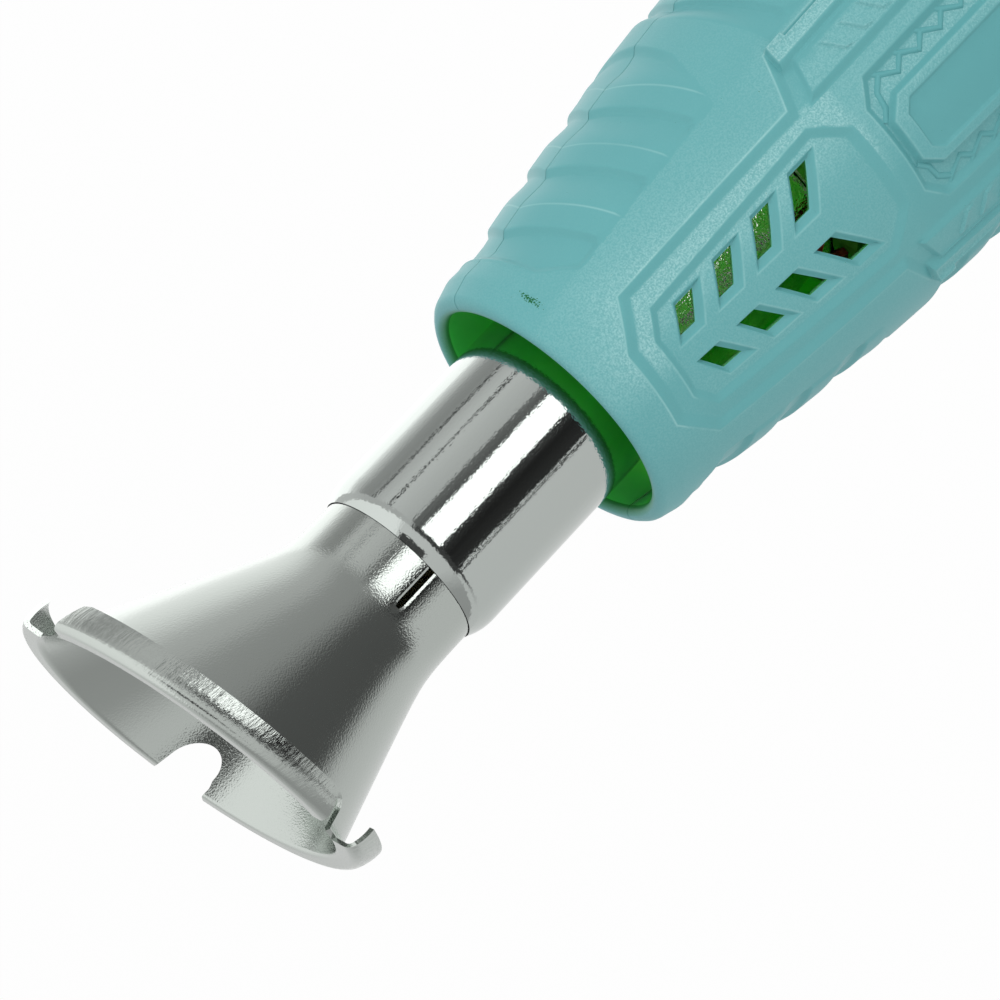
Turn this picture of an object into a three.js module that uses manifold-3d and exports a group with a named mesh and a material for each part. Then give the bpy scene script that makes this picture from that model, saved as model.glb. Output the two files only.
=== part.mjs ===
// Hand-held hot air tool for crafts: a two-part moulded grip with vents and ribs, a chromed
// heater tube standing clear of the rim, and a push-in reflector nozzle with a curled lip.
// Millimetres. The tool stands on its tail: +Z runs from the tail to the nozzle, +X is the
// top spine with the rocker switch, and the housing parts along the plane y = 0.
import * as THREE from 'three';
import { mergeVertices } from 'three/addons/utils/BufferGeometryUtils.js';
import Module from 'manifold-3d';

const wasm = await Module();
wasm.setup();

// Fits
const CLEARANCE = 0.3;          // between pieces that seat in or on each other
const SEAT_GAP = 0.1;           // between flat faces that rest on each other
const PARTING_GAP = 0.3;        // between the two housing halves

// Housing: places along it are given as the distance back from the rim
const BODY_LENGTH = 180;        // tail to rim
const RIM_RADIUS = 16.5;
const GRIP_RADIUS = 24.7;
const TAIL_RADIUS = 22;
const SWELL_LENGTH = 95;        // rim to the thickest place
const SWELL_POWER = 2.4;
const WALL = 2;
const TRAP_RIB_DEPTH = 2.2;     // ribs inside the housing that hold the duct and the plate
const TRAP_RIB_WIDTH = 1.6;

// Vent panel on each side: two octagonal steps with slanted slots in the floor
const PANEL_FRONT = 5;
const PANEL_REAR = 41;
const PANEL_HALF_ANGLE = 31;    // degrees from the side's centre line
const PANEL_CORNER_ANGLE = 14.6;
const PANEL_CORNER = 3.6;
const STEP_DEPTH = 0.5;
const STEP_INSET = 3.2;         // front of the first step to front of the second
const STEP_INSET_ANGLE = 8;
const VENT_COUNT = 4;
const VENT_FRONT = 9.8;
const VENT_PITCH = 5.7;
const VENT_WIDTH = 3.4;
const VENT_SLANT = 3.1;         // outer end lies this much further back
const VENT_INNER_ANGLE = 3.7;
const VENT_OUTER_ANGLE = 16;

// Grip recess behind the vents, the plaque in it, and the channel beside it
const RECESS_REAR = 112;
const RECESS_LAND = 1.8;        // land between the vent panel and the recess
const RECESS_HALF_ANGLE = 22;
const RECESS_DEPTH = 0.8;
const PLAQUE_INSET = 2.4;
const PLAQUE_LENGTH = 40;
const PLAQUE_HALF_ANGLE = 11;
const PLAQUE_HEIGHT = 1.1;
const CHANNEL_INNER_ANGLE = 28;
const CHANNEL_OUTER_ANGLE = 42;

// Ribs across the top and the bottom of the front grip
const RIB_COUNT = 4;
const RIB_FRONT = 10;
const RIB_PITCH = 8.55;
const RIB_WIDTH = 3.2;
const RIB_HEIGHT = 0.9;
const RIB_SLANT = 3.2;
const RIB_END_ANGLE = 46;

// Tail cap with its intake slots and foot pad
const CAP_HEIGHT = 12;
const CAP_BASE = 2.6;
const CAP_WALL = 1.8;
const SPIGOT_LENGTH = 6;
const SLOT_COUNT = 12;
const SLOT_WIDTH = 2.4;
const SLOT_HEIGHT = 5.4;
const FOOT_STAND = 1;           // height of the cap above the table
const FOOT_RADIUS = 17.4;
const FOOT_THICKNESS = 2;

// Heater
const TUBE_RADIUS = 11;
const TUBE_WALL = 0.8;
const TUBE_OUT = 24;            // in front of the rim
const TUBE_INSIDE = 56;         // behind the rim
const FLANGE_RADIUS = 13;
const PLATE_THICKNESS = 3;
const PLATE_HOLES = 8;
const PLATE_HOLE_RADIUS = 2;
const BASE_THICKNESS = 5;
const MICA = 0.5;
const BOARD_HALF_WIDTH = 7.2;
const BOARD_THICKNESS = 0.8;
const COIL_RADIUS = 8;
const COIL_WIRE = 0.9;
const COIL_TURNS = 12;
const COIL_END_GAP = 3;         // from the wire's ends to the ends of the sleeve
const COIL_STEPS = 8;

// Thermal cut-out strapped to the tube
const BAND_BACK = 36;
const BAND_WIDTH = 5;
const BAND_THICKNESS = 0.7;
const CUTOUT_RADIUS = 3.6;
const CUTOUT_THICKNESS = 3.4;
const CUTOUT_ANGLE = -36;       // from the near side's centre line towards the top
const LEAD_RADIUS = 0.8;

// Reflector nozzle
const NECK_INSIDE = 14;         // length pushed into the tube
const NECK_OUT = 7;             // straight length in front of the tube
const FLARE_LENGTH = 21.4;
const FLARE_POWER = 1.08;
const MOUTH_RADIUS = 20.2;
const MOUTH_SHIFT = 3.2;        // centre of the mouth towards the long side
const MOUTH_SLOPE = 0.12;
const NOZZLE_TURN = 23.4;         // long side from the spine, degrees
const SHEET = 0.8;
const CURL_RADIUS = 1.6;
const LIP_ANGLE = 134;          // where the curl begins, round its own centre
const CURL_SWEEP = 200;
const LIP_SLIT_ANGLE = 72;      // from the near side
const LIP_SLIT_WIDTH = 1.4;
const NOTCH_RADIUS = 3;
const NECK_SLOT_LENGTH = 5;
const NECK_SLOT_WIDTH = 1.2;

// Fan and motor
const DUCT_LENGTH = 29;
const DUCT_WALL = 1.6;
const MOTOR_RADIUS = 12.2;
const MOTOR_LENGTH = 26;
const MOTOR_SEAT = 4;           // motor face in front of the duct's rear edge
const BOSS_RADIUS = 4;
const BOSS_HEIGHT = 3.4;
const WEB_THICKNESS = 2.4;
const SOCKET_WALL = 1.7;
const SPOKE_WIDTH = 2.2;
const SHAFT_RADIUS = 1;
const HUB_RADIUS = 5.5;
const HUB_HEIGHT = 10;
const HUB_STANDOFF = 2.5;       // hub above the motor's boss
const BLADE_COUNT = 7;
const BLADE_THICKNESS = 1.2;
const TIP_GAP = 0.8;
const END_CAP_HEIGHT = 4;
const POST_HEIGHT = 2;
const POST_RADIUS = 1.4;
const BOARD_SIZE = 17;          // rectifier board
const BOARD_GAUGE = 1.4;
const DIODE_RADIUS = 1.35;
const DIODE_LENGTH = 5.2;

// Rocker switch on the top spine
const SWITCH_GAP = 1.5;         // between the switch and the diodes in front of it
const PAD_RISE = 0.8;           // flat seat above the housing
const PAD_MARGIN = 1.2;         // of the seat round the bezel
const BEZEL_LENGTH = 31;
const BEZEL_WIDTH = 15;
const BEZEL_FLANGE = 1.4;
const BEZEL_WALL = 1.4;
const BEZEL_DEPTH = 9;
const ROCKER_LENGTH = 18.2;
const ROCKER_WIDTH = 7.8;
const ROCKER_RISE = 3;          // ends above the pivot
const ROCKER_VALLEY = 1.4;
const ROCKER_SWING_GAP = 0.7;   // between the rocker's ends and the bezel
const PIVOT_RADIUS = 1;
const PIVOT_LENGTH = 0.7;
const SWITCH_BODY_DEPTH = 9;
const TERMINAL_LENGTH = 5.5;
const TERMINAL_WIDTH = 4.8;
const TERMINAL_GAUGE = 0.8;

// Cord inlet
const GLAND_HEIGHT = 27;
const GLAND_NECK = 4.2;
const GLAND_BORE = 3.2;
const GLAND_COLLAR = 5.8;
const GLAND_COLLAR_THICKNESS = 1.8;

// Housing screws, driven from the far half into the near one
const SCREW_RADIUS = 1.2;
const SCREW_LENGTH = 17;
const HEAD_RADIUS = 2.7;
const HEAD_HEIGHT = 2;
const SCREW_SEAT = 9;           // under the head, from the parting plane
const BOSS_WALL = 1.3;
const FRONT_SCREW_BACK = 45;
const MIDDLE_SCREW_BACK = 112;

// Values worked out from those above
const degrees = Math.PI / 180;
const TURN = 2 * Math.PI;
const NEAR = -1;
const FAR = 1;
const mix = THREE.MathUtils.lerp;
const heightAt = (back) => BODY_LENGTH - back;
const shellRearBack = BODY_LENGTH - CAP_HEIGHT;
const tubeBore = TUBE_RADIUS - TUBE_WALL;
const tubeRear = heightAt(TUBE_INSIDE);
const tubeFront = BODY_LENGTH + TUBE_OUT;
const plateRear = tubeRear + TUBE_WALL + SEAT_GAP;
const plateFront = plateRear + PLATE_THICKNESS;
const ductFront = tubeRear - SEAT_GAP;
const ductRear = ductFront - DUCT_LENGTH;
const motorFront = ductRear + MOTOR_SEAT;
const webFront = motorFront + SEAT_GAP + WEB_THICKNESS;
const motorRear = motorFront - MOTOR_LENGTH;
const endCapRear = motorRear - SEAT_GAP - END_CAP_HEIGHT;
const boardFront = endCapRear - POST_HEIGHT - SEAT_GAP;
const boardRear = boardFront - BOARD_GAUGE;

// Outer radius of the housing, back from the rim
function bodyRadius(back) {
  if (back < SWELL_LENGTH) {
    const rest = Math.max(0, 1 - back / SWELL_LENGTH);
    return GRIP_RADIUS - (GRIP_RADIUS - RIM_RADIUS) * Math.min(1, rest) ** SWELL_POWER;
  }
  const past = (back - SWELL_LENGTH) / (BODY_LENGTH - SWELL_LENGTH);
  return GRIP_RADIUS - (GRIP_RADIUS - TAIL_RADIUS) * past ** 2;
}
const innerRadius = (back) => bodyRadius(back) - WALL;
const ductRadius = Math.min(innerRadius(BODY_LENGTH - ductFront), innerRadius(BODY_LENGTH - ductRear))
  - CLEARANCE;
const plateRadius = innerRadius(BODY_LENGTH - plateFront) - CLEARANCE;

// Closed solids from geometry
function signedVolume(positions, index) {
  const a = new THREE.Vector3();
  const b = new THREE.Vector3();
  const c = new THREE.Vector3();
  let volume = 0;
  for (let i = 0; i < index.length; i += 3) {
    a.fromArray(positions, 3 * index[i]);
    b.fromArray(positions, 3 * index[i + 1]);
    c.fromArray(positions, 3 * index[i + 2]);
    volume += a.dot(b.cross(c)) / 6;
  }
  return volume;
}

function solid(geometry) {
  const bare = geometry.clone();
  bare.deleteAttribute('normal');
  bare.deleteAttribute('uv');
  const merged = mergeVertices(bare, 1e-4);
  const positions = new Float32Array(merged.attributes.position.array);
  const index = Uint32Array.from(merged.index.array);
  if (signedVolume(positions, index) < 0) {
    index.reverse();
  }
  return new wasm.Manifold(new wasm.Mesh({ numProp: 3, vertProperties: positions, triVerts: index }));
}

const joined = (first, ...rest) => rest.reduce((all, next) => all.add(next), first);
const without = (first, ...rest) => rest.reduce((all, next) => all.subtract(next), first);

function geometryOf(form) {
  const mesh = form.getMesh();
  const geometry = new THREE.BufferGeometry();
  geometry.setAttribute('position', new THREE.BufferAttribute(mesh.vertProperties, 3));
  geometry.setIndex(new THREE.BufferAttribute(mesh.triVerts, 1));
  geometry.computeVertexNormals();
  return geometry;
}

// Basic forms, all with their axis or their height along +Z
function revolve(profile, sides) {
  const points = profile.map(([radius, height]) => new THREE.Vector2(radius, height));
  points.push(points[0].clone());
  return new THREE.LatheGeometry(points, sides).rotateX(Math.PI / 2);
}

function ring(inner, outer, low, high, sides = 36) {
  return revolve([[inner, low], [outer, low], [outer, high], [inner, high]], sides);
}

function rod(radius, low, high, sides = 16) {
  const geometry = new THREE.CylinderGeometry(radius, radius, high - low, sides);
  return geometry.rotateX(Math.PI / 2).translate(0, 0, (low + high) / 2);
}

function block(x, y, z) {
  const geometry = new THREE.BoxGeometry(x[1] - x[0], y[1] - y[0], z[1] - z[0]);
  return geometry.translate((x[0] + x[1]) / 2, (y[0] + y[1]) / 2, (z[0] + z[1]) / 2);
}

// Turns a form with its axis along +Z to point along +Y or +X
const alongY = (geometry) => geometry.rotateX(-Math.PI / 2);
const alongX = (geometry) => geometry.rotateY(Math.PI / 2);

function wire(points, radius, steps) {
  const outline = new THREE.Shape().absarc(0, 0, radius, 0, TURN);
  const path = new THREE.CatmullRomCurve3(points.map((point) => new THREE.Vector3(...point)));
  return new THREE.ExtrudeGeometry(outline, { steps, extrudePath: path, curveSegments: 3 });
}

// A block bent onto one side of the housing. Its rows lie at the given angles (degrees) from
// the side's centre line towards the top; backAt and radiusAt give its other two extents.
function bentBlock(side, angles, backAt, radiusAt, steps) {
  const rows = angles.length - 1;
  const geometry = new THREE.BoxGeometry(1, 1, 1, steps, rows, 1);
  const place = geometry.attributes.position;
  for (let i = 0; i < place.count; i++) {
    const angle = angles[Math.round((place.getY(i) + 0.5) * rows)];
    const back = backAt(place.getX(i) + 0.5, Math.abs(angle));
    const radius = radiusAt(place.getZ(i) + 0.5, back);
    const x = radius * Math.sin(angle * degrees);
    const y = side * radius * Math.cos(angle * degrees);
    place.setXYZ(i, x, y, heightAt(back));
  }
  return solid(geometry);
}

// Radius of a cut that goes a given depth into the housing, from well outside it
const cutTo = (depth) => (share, back) => bodyRadius(back) + mix(-depth, 2 * WALL, share);

// An eight-sided field on the housing: straight front and rear, with cut corners
function octagon(side, front, rear, cornerAngle, halfAngle, corner, radiusAt) {
  const half = [cornerAngle / 3, cornerAngle, halfAngle];
  const angles = [...half.map((angle) => -angle).reverse(), ...half];
  const backAt = (share, angle) => {
    const past = Math.max(0, angle - cornerAngle) / (halfAngle - cornerAngle);
    return mix(front + corner * past, rear - corner * past, share);
  };
  return bentBlock(side, angles, backAt, radiusAt, 3);
}

function ventSlots(side) {
  const slots = [];
  for (let i = 0; i < VENT_COUNT; i++) {
    const front = VENT_FRONT + i * VENT_PITCH;
    const outerAngle = VENT_OUTER_ANGLE + i * 0.8;
    const backAt = (share, angle) => {
      const out = (angle - VENT_INNER_ANGLE) / (outerAngle - VENT_INNER_ANGLE);
      return front + VENT_SLANT * out + VENT_WIDTH * share;
    };
    for (const sign of [-1, 1]) {
      const angles = [sign * VENT_INNER_ANGLE, sign * outerAngle];
      slots.push(bentBlock(side, angles, backAt, cutTo(2 * WALL), 1));
    }
  }
  return slots;
}

function gripRibs(side) {
  const ribs = [];
  const raised = (share, back) => bodyRadius(back) + mix(-WALL / 2, RIB_HEIGHT, share);
  for (let i = 0; i < RIB_COUNT; i++) {
    const front = RIB_FRONT + i * RIB_PITCH;
    const backAt = (share, angle) => {
      const out = (90 - angle) / (90 - RIB_END_ANGLE);
      return front + RIB_SLANT * out + RIB_WIDTH * share;
    };
    for (const sign of [-1, 1]) {
      const angles = [0, 1, 2, 3].map((row) => sign * mix(RIB_END_ANGLE, 92, row / 3));
      ribs.push(bentBlock(side, angles, backAt, raised, 1));
    }
  }
  return ribs;
}

function panels(side) {
  const recessFront = PANEL_REAR + RECESS_LAND;
  const plaqueFront = recessFront + PLAQUE_INSET;
  const corner = PANEL_CORNER_ANGLE;
  const inner = PANEL_HALF_ANGLE - STEP_INSET_ANGLE;
  const plaqueTop = (share, back) => bodyRadius(back) - RECESS_DEPTH + mix(-WALL / 4, PLAQUE_HEIGHT, share);
  const cuts = [
    octagon(side, PANEL_FRONT, PANEL_REAR, corner, PANEL_HALF_ANGLE, PANEL_CORNER, cutTo(STEP_DEPTH)),
    octagon(side, PANEL_FRONT + STEP_INSET, PANEL_REAR - STEP_INSET / 2, corner * 0.75, inner,
      PANEL_CORNER * 0.7, cutTo(2 * STEP_DEPTH)),
    octagon(side, recessFront, RECESS_REAR, corner, RECESS_HALF_ANGLE, PANEL_CORNER * 0.7,
      cutTo(RECESS_DEPTH)),
  ];
  for (const sign of [-1, 1]) {
    const middle = (CHANNEL_INNER_ANGLE + CHANNEL_OUTER_ANGLE) / 2;
    const angles = [CHANNEL_INNER_ANGLE, middle, CHANNEL_OUTER_ANGLE].map((angle) => sign * angle);
    const backAt = (share) => mix(recessFront, RECESS_REAR, share);
    cuts.push(bentBlock(side, angles, backAt, cutTo(RECESS_DEPTH), 3));
  }
  const plaque = octagon(side, plaqueFront, plaqueFront + PLAQUE_LENGTH, PLAQUE_HALF_ANGLE * 0.7,
    PLAQUE_HALF_ANGLE, PLAQUE_INSET, plaqueTop);
  return { cuts, plaque };
}

// The housing before it is parted: a thin wall that swells from the rim to the grip
function housingWall() {
  const outline = [];
  const lip = WALL / 2;
  for (let i = 0; i <= 3; i++) {
    const angle = Math.PI * (1 - i / 3);
    outline.push([RIM_RADIUS - lip + lip * Math.cos(angle), heightAt(lip) + lip * Math.sin(angle)]);
  }
  const stations = 9;
  for (let i = 1; i <= stations; i++) {
    const back = mix(lip, shellRearBack, (i / stations) ** 1.3);
    outline.push([bodyRadius(back), heightAt(back)]);
  }
  const innerStations = 8;
  for (let i = innerStations; i > 0; i--) {
    const back = mix(lip, shellRearBack, (i / innerStations) ** 1.3);
    outline.push([innerRadius(back), heightAt(back)]);
  }
  return solid(revolve(outline, 32));
}

// A rib round the inside of the housing, between two heights
function trapRib(low, high) {
  const back = BODY_LENGTH - (low + high) / 2;
  return solid(ring(innerRadius(back) - TRAP_RIB_DEPTH, innerRadius(back) + WALL / 2, low, high, 16));
}

// Where the screws go: x and height of each
function screwPlaces() {
  const reach = (back) => innerRadius(back) - HEAD_RADIUS - BOSS_WALL;
  return [
    [reach(FRONT_SCREW_BACK), heightAt(FRONT_SCREW_BACK)],
    [-reach(FRONT_SCREW_BACK), heightAt(FRONT_SCREW_BACK)],
    [reach(MIDDLE_SCREW_BACK), heightAt(MIDDLE_SCREW_BACK)],
    [-reach(MIDDLE_SCREW_BACK), heightAt(MIDDLE_SCREW_BACK)],
  ];
}

// Bosses for the screws, cut to the housing's own outline
function screwBosses(side) {
  const radius = side === FAR ? HEAD_RADIUS + CLEARANCE + BOSS_WALL : SCREW_RADIUS + CLEARANCE + BOSS_WALL;
  const bosses = screwPlaces().map(([x, z]) => {
    const column = alongY(rod(radius, 0, GRIP_RADIUS, 8)).scale(1, side, 1);
    const skin = bodyRadius(BODY_LENGTH - z) - WALL / 2;
    const room = solid(rod(skin, z - 2 * radius, z + 2 * radius, 18));
    return solid(column.translate(x, 0, z)).intersect(room);
  });
  const finBack = FRONT_SCREW_BACK;
  const finEnd = innerRadius(finBack) - HEAD_RADIUS;
  const fins = [-1, 1].map((sign) => {
    const x = [TUBE_RADIUS + CLEARANCE, finEnd].map((value) => sign * value).sort((a, b) => a - b);
    const y = [0, side * TUBE_RADIUS * 0.6].sort((a, b) => a - b);
    return solid(block(x, y, [heightAt(finBack) - 1, heightAt(finBack) + 1]));
  });
  return [...bosses, ...fins];
}

function screwHoles(side) {
  return screwPlaces().flatMap(([x, z]) => {
    const hole = SCREW_RADIUS + CLEARANCE;
    if (side === NEAR) {
      const blind = SCREW_LENGTH - SCREW_SEAT + CLEARANCE;
      return [solid(alongY(rod(hole, -blind, 1, 6)).translate(x, 0, z))];
    }
    const through = alongY(rod(hole, -1, SCREW_SEAT + 1, 6)).translate(x, 0, z);
    const seat = alongY(rod(HEAD_RADIUS + CLEARANCE, SCREW_SEAT, GRIP_RADIUS + 2, 10)).translate(x, 0, z);
    return [solid(through), solid(seat)];
  });
}

// Rocker switch: shared places on the top spine
const wellLength = ROCKER_LENGTH + 2 * ROCKER_SWING_GAP;
const wellWidth = ROCKER_WIDTH + 2 * CLEARANCE;
const boxLength = wellLength + 2 * BEZEL_WALL;
const boxWidth = wellWidth + 2 * BEZEL_WALL;
const switchZ = boardRear - SEAT_GAP - 2 * DIODE_RADIUS - SWITCH_GAP - boxLength / 2;
const padTop = bodyRadius(BODY_LENGTH - switchZ) + PAD_RISE;
const flangeLow = padTop + SEAT_GAP;
const flangeTop = flangeLow + BEZEL_FLANGE;
const pivotX = flangeLow;
const bezelLow = flangeLow - BEZEL_DEPTH;
const switchLow = bezelLow - SEAT_GAP - SWITCH_BODY_DEPTH;

// A box on the switch's centre: x range, full width across and full length along the tool
function switchBox(x, width, length) {
  const z = [switchZ - length / 2, switchZ + length / 2];
  return block(x, [-width / 2, width / 2], z);
}

function shellHalf(side) {
  const { cuts, plaque } = panels(side);
  const reach = 2 * GRIP_RADIUS;
  const edge = PARTING_GAP / 2;
  const y = side === NEAR ? [-reach, -edge] : [edge, reach];
  const halfSpace = solid(block([-reach, reach], y, [-1, BODY_LENGTH + 1]));
  const padBase = padTop - PAD_RISE - 2 * WALL;
  const padWidth = BEZEL_WIDTH + 2 * PAD_MARGIN;
  const padLength = BEZEL_LENGTH + 2 * PAD_MARGIN;
  const pad = solid(switchBox([padBase, padTop], padWidth, padLength));
  const padRoom = solid(rod(padTop - PAD_RISE / 2 - WALL, 0, BODY_LENGTH, 24));
  const opening = solid(switchBox([0, padTop + 5], boxWidth + 2 * CLEARANCE, boxLength + 2 * CLEARANCE));
  const inlet = alongX(rod(GLAND_NECK + CLEARANCE, -2 * GRIP_RADIUS, 0, 16)).translate(0, 0, GLAND_HEIGHT);
  const beadBack = BODY_LENGTH - CAP_HEIGHT - SPIGOT_LENGTH / 2;
  const beadGroove = ring(innerRadius(beadBack) - 2, innerRadius(beadBack) + WALL * 0.6,
    heightAt(beadBack) - 1.2, heightAt(beadBack) + 1.2, 16);
  let form = without(housingWall(), ...cuts).add(plaque);
  form = without(joined(form, ...gripRibs(side)), ...ventSlots(side));
  form = joined(form, without(pad, padRoom), ...screwBosses(side),
    trapRib(ductRear - CLEARANCE - TRAP_RIB_WIDTH, ductRear - CLEARANCE),
    trapRib(plateFront + CLEARANCE, plateFront + CLEARANCE + TRAP_RIB_WIDTH));
  form = without(form, opening, solid(inlet), solid(beadGroove), ...screwHoles(side));
  return form.intersect(halfSpace);
}

function tailCap() {
  const joint = bodyRadius(shellRearBack);
  const spigot = innerRadius(shellRearBack) - CLEARANCE;
  const shoulder = CAP_HEIGHT - CLEARANCE;
  const spigotTop = CAP_HEIGHT + SPIGOT_LENGTH;
  const bead = CAP_HEIGHT + SPIGOT_LENGTH / 2;
  const beadReach = spigot + CLEARANCE + WALL * 0.25;
  const bore = spigot - CAP_WALL;
  const floor = FOOT_STAND + CAP_BASE;
  const cup = solid(revolve([
    [0, FOOT_STAND], [TAIL_RADIUS - 2, FOOT_STAND], [TAIL_RADIUS - 0.6, FOOT_STAND + 0.6],
    [TAIL_RADIUS, FOOT_STAND + 2], [joint, shoulder], [spigot, shoulder], [spigot, bead - 0.8],
    [beadReach, bead], [spigot, bead + 0.8], [spigot, spigotTop], [bore, spigotTop],
    [bore, floor], [0, floor],
  ], 30));
  const slots = [];
  const slotLow = floor + 0.6;
  for (let i = 0; i < SLOT_COUNT; i++) {
    const across = [-SLOT_WIDTH / 2, SLOT_WIDTH / 2];
    const slot = block([bore - 2, joint + 2], across, [slotLow, slotLow + SLOT_HEIGHT]);
    slots.push(solid(slot.rotateZ((i + 0.5) * TURN / SLOT_COUNT)));
  }
  const recess = rod(FOOT_RADIUS + CLEARANCE, -1, FOOT_THICKNESS + SEAT_GAP, 30);
  return without(cup, solid(recess), ...slots);
}

const footPad = () => rod(FOOT_RADIUS, 0, FOOT_THICKNESS, 30);

// Chromed tube with a rolled front edge and a flange trapped under the support plate
function heaterTube() {
  const round = TUBE_WALL * 0.8;
  return revolve([
    [tubeBore, tubeRear], [FLANGE_RADIUS, tubeRear], [FLANGE_RADIUS, tubeRear + TUBE_WALL],
    [TUBE_RADIUS, tubeRear + TUBE_WALL], [TUBE_RADIUS, tubeFront - round],
    [TUBE_RADIUS - round * 0.3, tubeFront - round * 0.3], [TUBE_RADIUS - round, tubeFront],
    [tubeBore, tubeFront],
  ], 32);
}

const leadAngle = -12;          // of the lead beside the tube, from the near centre line to the top
const plateHoleRing = (TUBE_RADIUS + plateRadius) / 2;

// Place beside the tube: radius, angle from the near centre line towards the top, height
function beside(radius, angle, height) {
  return [radius * Math.sin(angle * degrees), -radius * Math.cos(angle * degrees), height];
}

function supportPlate() {
  const disc = solid(ring(TUBE_RADIUS + CLEARANCE, plateRadius, plateRear, plateFront, 28));
  const holes = [];
  for (let i = 0; i < PLATE_HOLES; i++) {
    const centre = beside(plateHoleRing, leadAngle + i * 360 / PLATE_HOLES, 0);
    const hole = rod(PLATE_HOLE_RADIUS, plateRear - 1, plateFront + 1, 6);
    holes.push(solid(hole.translate(...centre)));
  }
  return without(disc, ...holes);
}

// Ceramic plug in the tube's rear end, with air holes
const baseRadius = tubeBore - CLEARANCE;
const baseFront = tubeRear + BASE_THICKNESS;
function heaterBase() {
  const plug = solid(rod(baseRadius, tubeRear + SEAT_GAP, baseFront, 20));
  const holes = [];
  for (let i = 0; i < 6; i++) {
    const hole = rod(baseRadius / 5, tubeRear - 1, baseFront + 1, 6).translate(baseRadius * 0.62, 0, 0);
    holes.push(solid(hole.rotateZ(i * TURN / 6)));
  }
  return without(plug, ...holes);
}

const micaLow = baseFront + SEAT_GAP;
const micaHigh = tubeFront - NECK_INSIDE - CLEARANCE;
const micaSleeve = () => ring(baseRadius - MICA, baseRadius, micaLow, micaHigh, 24);

// Two crossed boards carry the heating wire; each is slotted to half its height for the other
function micaBoard(upper) {
  const half = BOARD_THICKNESS / 2;
  const high = micaHigh - 2;
  const middle = (micaLow + high) / 2;
  const width = [-BOARD_HALF_WIDTH, BOARD_HALF_WIDTH];
  const gap = [-half - CLEARANCE, half + CLEARANCE];
  const board = upper
    ? block(width, [-half, half], [micaLow, high])
    : block([-half, half], width, [micaLow, high]);
  const slotZ = upper ? [micaLow - 1, middle + CLEARANCE / 2] : [middle - CLEARANCE / 2, high + 1];
  const slot = upper ? block(gap, [-1, 1], slotZ) : block([-1, 1], gap, slotZ);
  return solid(board).subtract(solid(slot));
}

class CoilPath extends THREE.Curve {
  getPoint(share, target = new THREE.Vector3()) {
    const angle = share * COIL_TURNS * TURN;
    const height = mix(micaLow + COIL_END_GAP, micaHigh - COIL_END_GAP, share);
    return target.set(COIL_RADIUS * Math.cos(angle), COIL_RADIUS * Math.sin(angle), height);
  }
}

// Least distance between turns of the wire, surface to surface
function coilGap(path) {
  const points = path.getSpacedPoints(COIL_TURNS * COIL_STEPS);
  let least = Infinity;
  for (let i = 0; i < points.length; i++) {
    for (let j = i + COIL_STEPS / 2; j < points.length; j++) {
      least = Math.min(least, points[i].distanceTo(points[j]) - COIL_WIRE);
    }
  }
  return least;
}

function heatingCoil() {
  const path = new CoilPath();
  console.log(`least gap between turns of the heating coil: ${coilGap(path).toFixed(2)} mm`);
  const outline = new THREE.Shape();
  for (let i = 0; i < 5; i++) {
    const angle = i * TURN / 5;
    outline[i ? 'lineTo' : 'moveTo'](COIL_WIRE / 2 * Math.cos(angle), COIL_WIRE / 2 * Math.sin(angle));
  }
  return new THREE.ExtrudeGeometry(outline, { steps: COIL_TURNS * COIL_STEPS, extrudePath: path });
}

// Thermal cut-out on a steel band round the tube, and the red lead to it
const bandFront = heightAt(BAND_BACK);
const bandInner = TUBE_RADIUS + CLEARANCE;
const cutoutLow = bandInner + BAND_THICKNESS + SEAT_GAP;
const band = () => ring(bandInner, bandInner + BAND_THICKNESS, bandFront - BAND_WIDTH, bandFront, 28);

function thermalCutout() {
  const disc = rod(CUTOUT_RADIUS, cutoutLow, cutoutLow + CUTOUT_THICKNESS, 20);
  const turned = alongX(disc).rotateZ((CUTOUT_ANGLE - 90) * degrees);
  return turned.translate(0, 0, bandFront - BAND_WIDTH / 2);
}

function redLead() {
  const outside = cutoutLow + CUTOUT_THICKNESS / 2;
  const start = bandFront - BAND_WIDTH / 2 + CUTOUT_RADIUS + CLEARANCE;
  const turn = start + 5 * LEAD_RADIUS;
  return wire([
    beside(outside, CUTOUT_ANGLE, start),
    beside(outside, CUTOUT_ANGLE + 3, start + 2 * LEAD_RADIUS),
    beside(outside, (CUTOUT_ANGLE + leadAngle) / 2, turn),
    beside(outside, leadAngle - 3, start + 2 * LEAD_RADIUS),
    beside(outside, leadAngle, start - 2 * LEAD_RADIUS),
    beside(outside, leadAngle, mix(start, plateFront, 0.5)),
    beside(plateHoleRing, leadAngle, plateFront + 6),
    beside(plateHoleRing, leadAngle, plateRear),
  ], LEAD_RADIUS, 22);
}

// Reflector: the centre line of the sheet is given a thickness, revolved and then bent so that
// the mouth slants and one side is longer
const neckRadius = tubeBore - CLEARANCE - SHEET / 2;
const neckRear = tubeFront - NECK_INSIDE;
const flareRear = tubeFront + NECK_OUT;
const mouthZ = flareRear + FLARE_LENGTH;

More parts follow.
